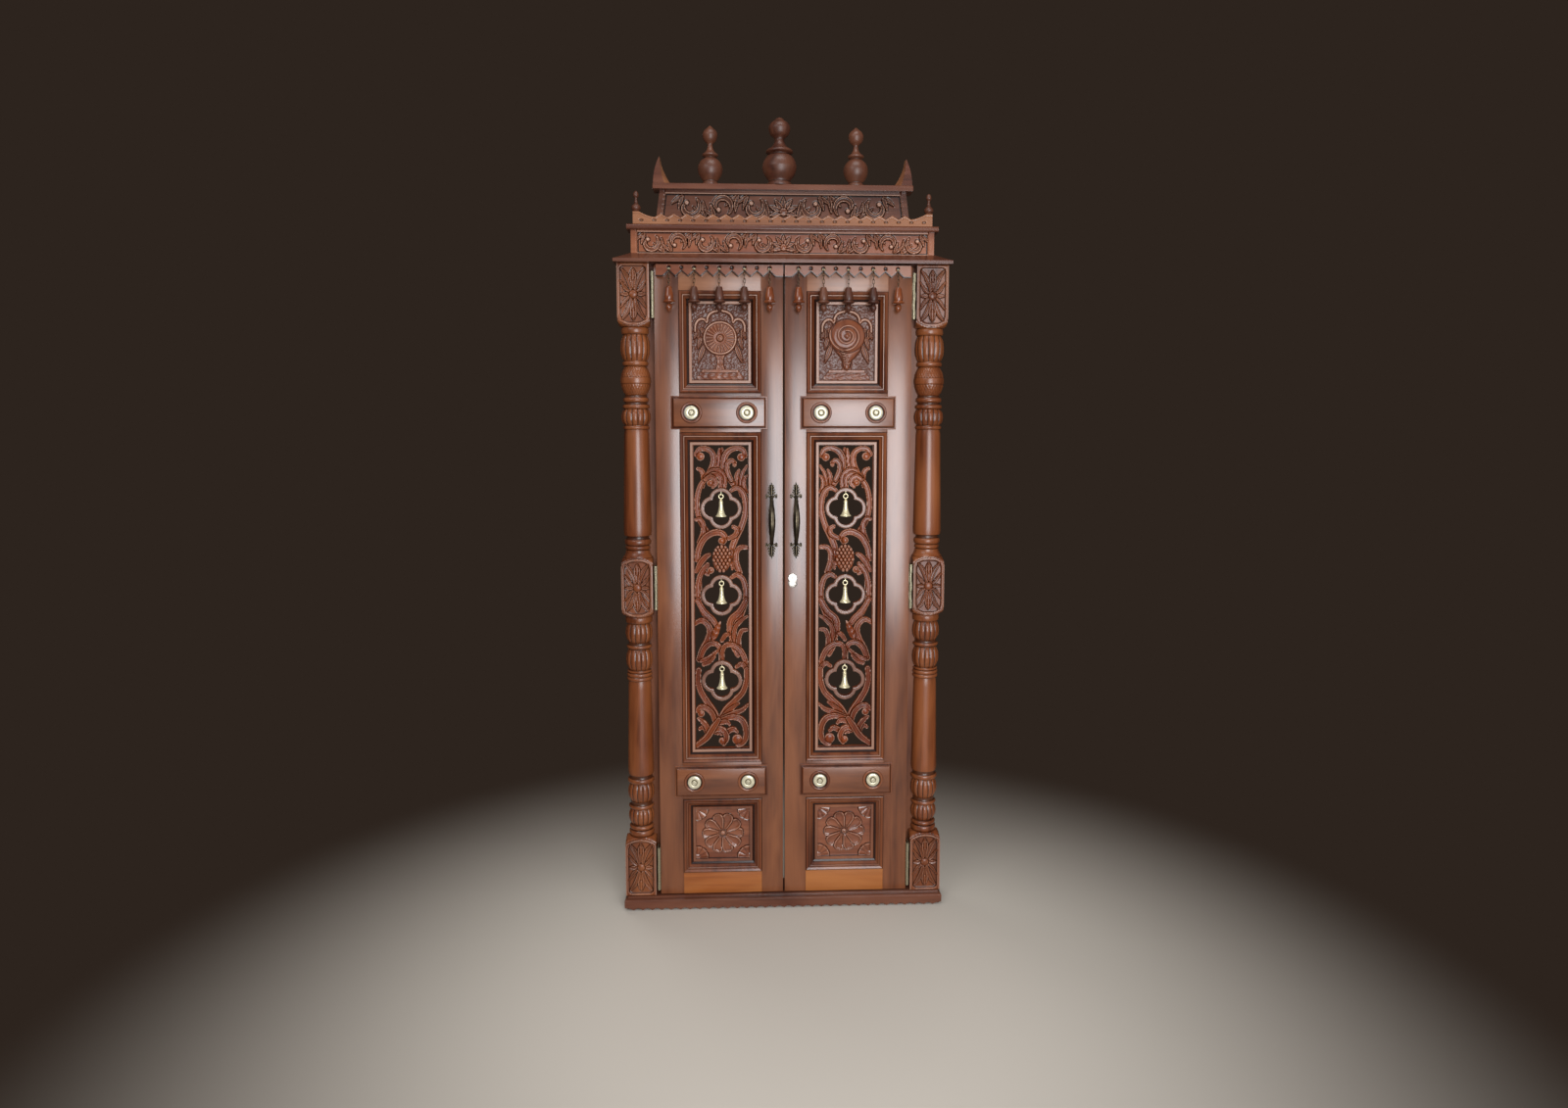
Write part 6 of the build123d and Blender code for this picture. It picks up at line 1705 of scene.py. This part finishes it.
def carve_upper():
    """The upper frieze, tapered to its head."""
    deep = UPPER_BACK - UPPER_FRONT
    work = Relief((-UPPER_HALF, UPPER_FOOT), (UPPER_HALF, UPPER_HEAD), 1.6, deep)
    taper = UPPER_HALF - UPPER_TAPER * (work.Z - UPPER_FOOT) / (UPPER_HEAD - UPPER_FOOT)
    work.wood = taper - np.abs(work.X)
    low, high = UPPER_FOOT + 18, UPPER_HEAD - 8
    field = (np.abs(work.X) < taper - 17) & (work.Z > low) & (work.Z < high)
    work.height[field] = deep - FRIEZE_CUT
    z, radius = (low + high) / 2, (high - low) / 2 - 1
    running_scrolls(work, UPPER_CENTRES, z, radius, deep - 0.6)
    rim = np.abs(np.abs(work.X) - taper + 14.5)
    work.height = np.where(np.abs(work.X) > taper - 16.0, deep,
                           work.height) - np.where((rim < 0.9) & (work.Z > low), 1.2, 0)
    return work


for name, work, node, back in (("lower_scrolls", carve_lower(), "lower_frieze", LOWER_BACK),
                               ("upper_scrolls", carve_upper(), "upper_frieze", UPPER_BACK)):
    # The friezes' finishes paint a highlight on the ridges and shade in the grooves.
    mesh = work.mesh(name, back, carve=work.carve_values(3.2, 2.0))
    add_piece(mesh, "frame", (carved_across, dark_across)[node == "upper_frieze"],
              [node])
    print(name, len(mesh.vertices), "points")

# %% [markdown]
# ## Cresting, cap and finials
#
# A pointed cresting board with bored dots hides the foot of the upper frieze. The cap board carries two
# horns and three turned finials, and two small finials stand on the cresting's ends.

# %% Cut the cresting
CREST_FRONT, CREST_BACK = span("cresting", 1)
CREST_FOOT, CREST_TOP = span("cresting", 2)
CREST_HALF = span("cresting", 0)[1]
CREST_PITCH, CREST_RISE = 34.0, 10.0
CREST_WAVE_END = 340
DOT_HALF, DOT_UP = 2.4, 9.5


def carve_cresting():
    """The cresting board with its points, the line under them and a row of dots."""
    deep = CREST_BACK - CREST_FRONT
    work = Relief((-CREST_HALF, CREST_FOOT), (CREST_HALF, CREST_TOP), 1.25, deep)
    point = CREST_TOP - 5.0
    phase = np.abs(((np.abs(work.X) / CREST_PITCH) % 1.0) - 0.5) * 2
    edge_z = point - CREST_RISE * phase
    rise = np.clip((np.abs(work.X) - CREST_WAVE_END) / 40, 0, 1)
    edge_z = np.where(np.abs(work.X) > CREST_WAVE_END, point - 9 + 14 * rise ** 1.6, edge_z)
    edge = (edge_z - work.Z) * 0.8
    work.wood = edge
    work.height -= np.interp(edge, (0, 1.4, 3.2, 4.2, 5.2), (1.4, 0.1, 0.0, 1.1, 0.0))
    for k in range(-11, 12):
        hole = np.hypot(np.maximum(np.abs(work.X - k * CREST_PITCH) - DOT_HALF, 0),
                        work.Z - CREST_FOOT - DOT_UP)
        work.height -= np.interp(hole, (0, 2.6, 3.6), (3.2, 2.8, 0.0))
    return work


# Its finish paints shade in the dots and in the line under the points.
mesh = carve_cresting().mesh("pointed_cresting", CREST_BACK)
add_piece(mesh, "frame", crest_across, ["cresting"])
print("cresting cut:", len(mesh.vertices), "points")

# %% Turn the finials
# Low third values paint shade in the finials' necks.
CENTRE_FINIAL = ((33, 0), (33.5, 5), (31, 9), (28, 11, 0.4), (28.5, 13, 0.4), (30, 17), (40, 30),
                 (45.2, 44), (45.6, 52), (42.5, 64),
                 (35, 76), (27.5, 81, 0.4), (28, 84, 0.5), (35, 87), (36, 90), (33.5, 94),
                 (26, 98, 0.6), (18, 106), (13.5, 115, 0.7),
                 (13, 122, 0.5), (16, 127, 0.6), (24, 134), (28.6, 146), (28.2, 154), (23, 163),
                 (16, 168, 0.6), (14, 170, 0.6), (9, 175), (3, 178), (0.3, 179))
SIDE_FINIAL = ((22, 0), (22.6, 5), (20, 8), (18.6, 10, 0.4), (19, 12, 0.4), (22, 16), (29.6, 28),
               (32.6, 40), (32, 50), (27, 61),
               (20, 68), (15, 71, 0.4), (15.6, 74, 0.4), (20.6, 77), (20.8, 81), (17, 84, 0.6),
               (11, 90), (7.4, 98, 0.7), (6.8, 106, 0.5),
               (9, 110, 0.6), (16, 117), (19.8, 128), (19.4, 135), (15, 143), (11, 146, 0.6), (7, 150),
               (2.4, 154), (0.3, 155))
CORNER_FINIAL = ((5.9, 0), (10.5, 6), (12.4, 10), (11.8, 15), (7.6, 20), (4.4, 23, 0.5), (5.4, 25.5),
                 (4.4, 28, 0.5), (3.3, 32), (3.8, 37),
                 (6.8, 41), (7.5, 45), (6.0, 50), (3.0, 54), (0.3, 56))
CORNER_HIGH, CORNER_WIDE, CORNER_FOOT = 56, 12.6, 6
PLATE_TOP = span("top_plate", 2)[1]
finial_y = centre_of("centre_finial", 1)
centre_x = centre_of("centre_finial", 0)
side_x = span("side_finials", 0)[1] - 33.0
mesh = joined_shape("centre_turned_finial", [turned(eased(CENTRE_FINIAL, 1.6),
                                                    (centre_x, finial_y, PLATE_TOP), steps=48)])
add_piece(mesh, "frame", finial_teak, ["centre_finial"])
parts = [turned(eased(SIDE_FINIAL, 1.6), (side * side_x, finial_y, PLATE_TOP), steps=40)
         for side in (-1, 1)]
add_piece(joined_shape("side_turned_finials", parts), "frame", finial_teak,
          ["side_finials"])
low, high = span("corner_finials", 2)
corner_x = span("corner_finials", 0)[1] - CORNER_WIDE
corner_y = centre_of("corner_finials", 1)
parts = [turned(eased(CORNER_FINIAL, 1.2), (side * corner_x, corner_y, high - CORNER_HIGH), steps=32)
         for side in (-1, 1)]
add_piece(joined_shape("corner_turned_finials", parts), "frame", finial_teak,
          ["corner_finials"])
for side, name in ((1, "right"), (-1, "left")):
    mesh = board(f"{name}_finial_foot", (side * corner_x - CORNER_FOOT, corner_y - CORNER_FOOT, low),
                 (side * corner_x + CORNER_FOOT, corner_y + CORNER_FOOT, high - CORNER_HIGH + 0.5), 0.8)
    add_piece(mesh, "frame", turned_teak, ["corner_finials"])
print("finials turned")

# %% Shape the horns
HORN_HALF, HORN_HIGH = span("horns", 0)[1], span("horns", 2)[1] - PLATE_TOP
HORN_FRONT, HORN_BACK = span("horns", 1)
HORN_RINGS = 22
HORN_LEAN, HORN_FRONT_WIDE, HORN_BACK_WIDE = 16.5, 31, 48


def horn(name, side):
    """A horn like the bow of a boat, bevelled back on its inner side."""
    verts = []
    count = HORN_RINGS
    for k in range(count):
        t = k / (count - 1)
        z = PLATE_TOP - 0.5 + (HORN_HIGH + 0.5) * t
        outer = HORN_HALF - HORN_LEAN * t ** 2.2
        front = outer - HORN_FRONT_WIDE * (1 - t) ** 0.9 - 0.4
        inner = outer - HORN_BACK_WIDE * (1 - t) ** 1.05 - 1.4
        for x, y in ((outer, HORN_BACK), (outer, HORN_FRONT), (front, HORN_FRONT), (inner, HORN_BACK)):
            verts.append((side * x, y, z))
    faces = [face if side < 0 else face[::-1] for face in ring_faces(count, 4, capped=True)]
    mesh = make_mesh(name, verts, faces, None, 30)
    for face in mesh.polygons:
        # The inner bevel takes the second, pale finish, which paints a reflection on it.
        face.material_index = int(face.index < 4 * (count - 1) and face.index % 4 == 2)
    return mesh


for side, name in ((1, "right"), (-1, "left")):
    piece = add_piece(horn(f"{name}_horn", side), "frame", board_across, ["horns"])
    # The pale finish paints a reflection on each horn's inner bevel.
    piece.data.materials.append(pale_across)
print("horns shaped")

# %% [markdown]
# ## Boards that stay as they are
#
# The eave, the shelf, the cap, the jambs, the sill and the hinges already have their true shape. They
# only need their finish, and a slightly rounded arris where a plane would have eased it.

# %% Finish the plain boards
WELD_REACH = 0.00002
EASE_OVER = 35


def dress(node, material, edge=0.0):
    """Give a plain solid its finish, and ease its edges."""
    solid = bpy.data.objects[node]
    solid.data.materials.clear()
    solid.data.materials.append(material)
    if edge:
        weld = solid.modifiers.new("weld", "WELD")
        weld.merge_threshold = WELD_REACH
        ease = solid.modifiers.new("ease", "BEVEL")
        ease.width = edge * MM
        ease.segments = 2
        ease.limit_method = "ANGLE"
        ease.angle_limit = math.radians(EASE_OVER)


for node in ("eave", "shelf", "top_plate", "threshold", "head_rail"):
    dress(node, board_across, 1.0)
dress("jambs", jamb_teak, 1.0)
for node in ("frame_hinge_plates", "right_hinge_plates", "left_hinge_plates"):
    dress(node, hinge_metal)
for node in ("right_hooks", "left_hooks"):
    dress(node, pale_brass)
for node in ("lock_cylinder", "lock_plug"):
    dress(node, lock_steel)
print("plain boards finished")

# %% [markdown]
# ## Floor, background and light
#
# The door stands on a plain pale floor under soft studio light. Away from the door the floor darkens
# into the brown of the background, so that the openings of the screens look dark, as they do on the
# real door with a dim room behind it. Four lamps stand in front, of which the large cool one acts as a
# window, and a fifth behind the door lets its back be seen without a glare on the rims.

# %% Light the door
BACKGROUND = (45, 36, 30)
GLOW, GLOW_STRENGTH = (1.0, 0.97, 0.93, 1), 0.4


FLOOR = (186, 178, 168)
FLOOR_ROUGH = 0.9
PALE_TO, DARK_FROM = 0.35, 1.75
FLOOR_HALF = 60


def floor_material():
    """Pale round the door, and further out exactly the background."""
    material, tree, shader = new_material("floor")
    fill(tree, shader, {"Base Color": linear(*FLOOR), "Roughness": FLOOR_ROUGH})
    place = add_node(tree, "TexCoord").outputs["Object"]
    length = add_node(tree, "VectorMath", {0: place}, operation="LENGTH").outputs["Value"]
    fade = add_node(tree, "MapRange", {"Value": length, "From Min": PALE_TO, "From Max": DARK_FROM},
                interpolation_type="SMOOTHSTEP")
    far = add_node(tree, "Emission", {"Color": linear(*BACKGROUND)})
    mix = add_node(tree, "MixShader", {"Fac": fade.outputs["Result"], 1: shader.outputs[0],
                                       2: far.outputs[0]})
    fill(tree, tree.nodes["Material Output"], {"Surface": mix.outputs[0]})
    return material


floor_mesh = bpy.data.meshes.new("floor")
corners = [(x * FLOOR_HALF, y * FLOOR_HALF, 0) for x, y in ((-1, -1), (1, -1), (1, 1), (-1, 1))]
floor_mesh.from_pydata(corners, [], [(0, 1, 2, 3)])
floor = bpy.data.objects.new("floor", floor_mesh)
floor.location = (0, -0.5, -0.0005)
floor_mesh.materials.append(floor_material())
bpy.context.scene.collection.objects.link(floor)
floor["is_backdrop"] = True

world = bpy.data.worlds.new("room")
bpy.context.scene.world = world
world.use_nodes = True
room = world.node_tree
backdrop = room.nodes["Background"]
fill(room, backdrop, {"Color": linear(*BACKGROUND)})
glow = add_node(room, "Background", {"Color": GLOW, "Strength": GLOW_STRENGTH})
path = add_node(room, "LightPath").outputs
seen = path["Is Camera Ray"]
for ray in ("Is Glossy Ray", "Is Transmission Ray"):
    seen = add_node(room, "Math", {0: seen, 1: path[ray]}, operation="MAXIMUM").outputs["Value"]
either = add_node(room, "MixShader", {"Fac": seen, 1: glow.outputs[0], 2: backdrop.outputs[0]})
fill(room, room.nodes["World Output"], {"Surface": either.outputs[0]})


# Name, place, aim, width, height, power and colour of each lamp
LAMPS = (
    ("window", (0.58, -3.2, 1.25), (0.3, 0, 1.25), 1.5, 2.1, 108, (0.92, 0.96, 1.0)),
    ("key", (-1.9, -2.6, 3.1), (0, 0, 1.2), 1.6, 1.2, 27, (1, 1, 1)),
    ("fill", (2.6, -2.4, 1.8), (0, 0, 1.0), 1.2, 2.0, 10, (1, 0.95, 0.9)),
    ("top", (0.1, -0.9, 3.6), (0, 0, 1.6), 1.2, 0.7, 19, (1, 1, 1)),
    ("back", (-1.9, 2.3, 2.7), (0, 0, 1.2), 1.4, 1.4, 20, (1, 1, 1)),
)


def softbox(name, place, aim, width, height, power, colour):
    """A large soft lamp turned towards a point."""
    lamp = bpy.data.lights.new(name, "AREA")
    lamp.shape = "RECTANGLE"
    lamp.size, lamp.size_y = width, height
    lamp.energy = power
    lamp.color = colour
    holder = bpy.data.objects.new(name, lamp)
    holder.location = place
    holder.rotation_euler = (Vector(aim) - Vector(place)).to_track_quat("-Z", "Y").to_euler()
    bpy.context.scene.collection.objects.link(holder)
    return holder


lamps = {row[0]: softbox(*row) for row in LAMPS}
lamps["back"].visible_glossy = False
print("lights set")

# %% [markdown]
# ## The size of the details
#
# The details must stay inside the size of the plain solids, so the box round every shown piece is
# found.

# %% Finish
low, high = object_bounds()
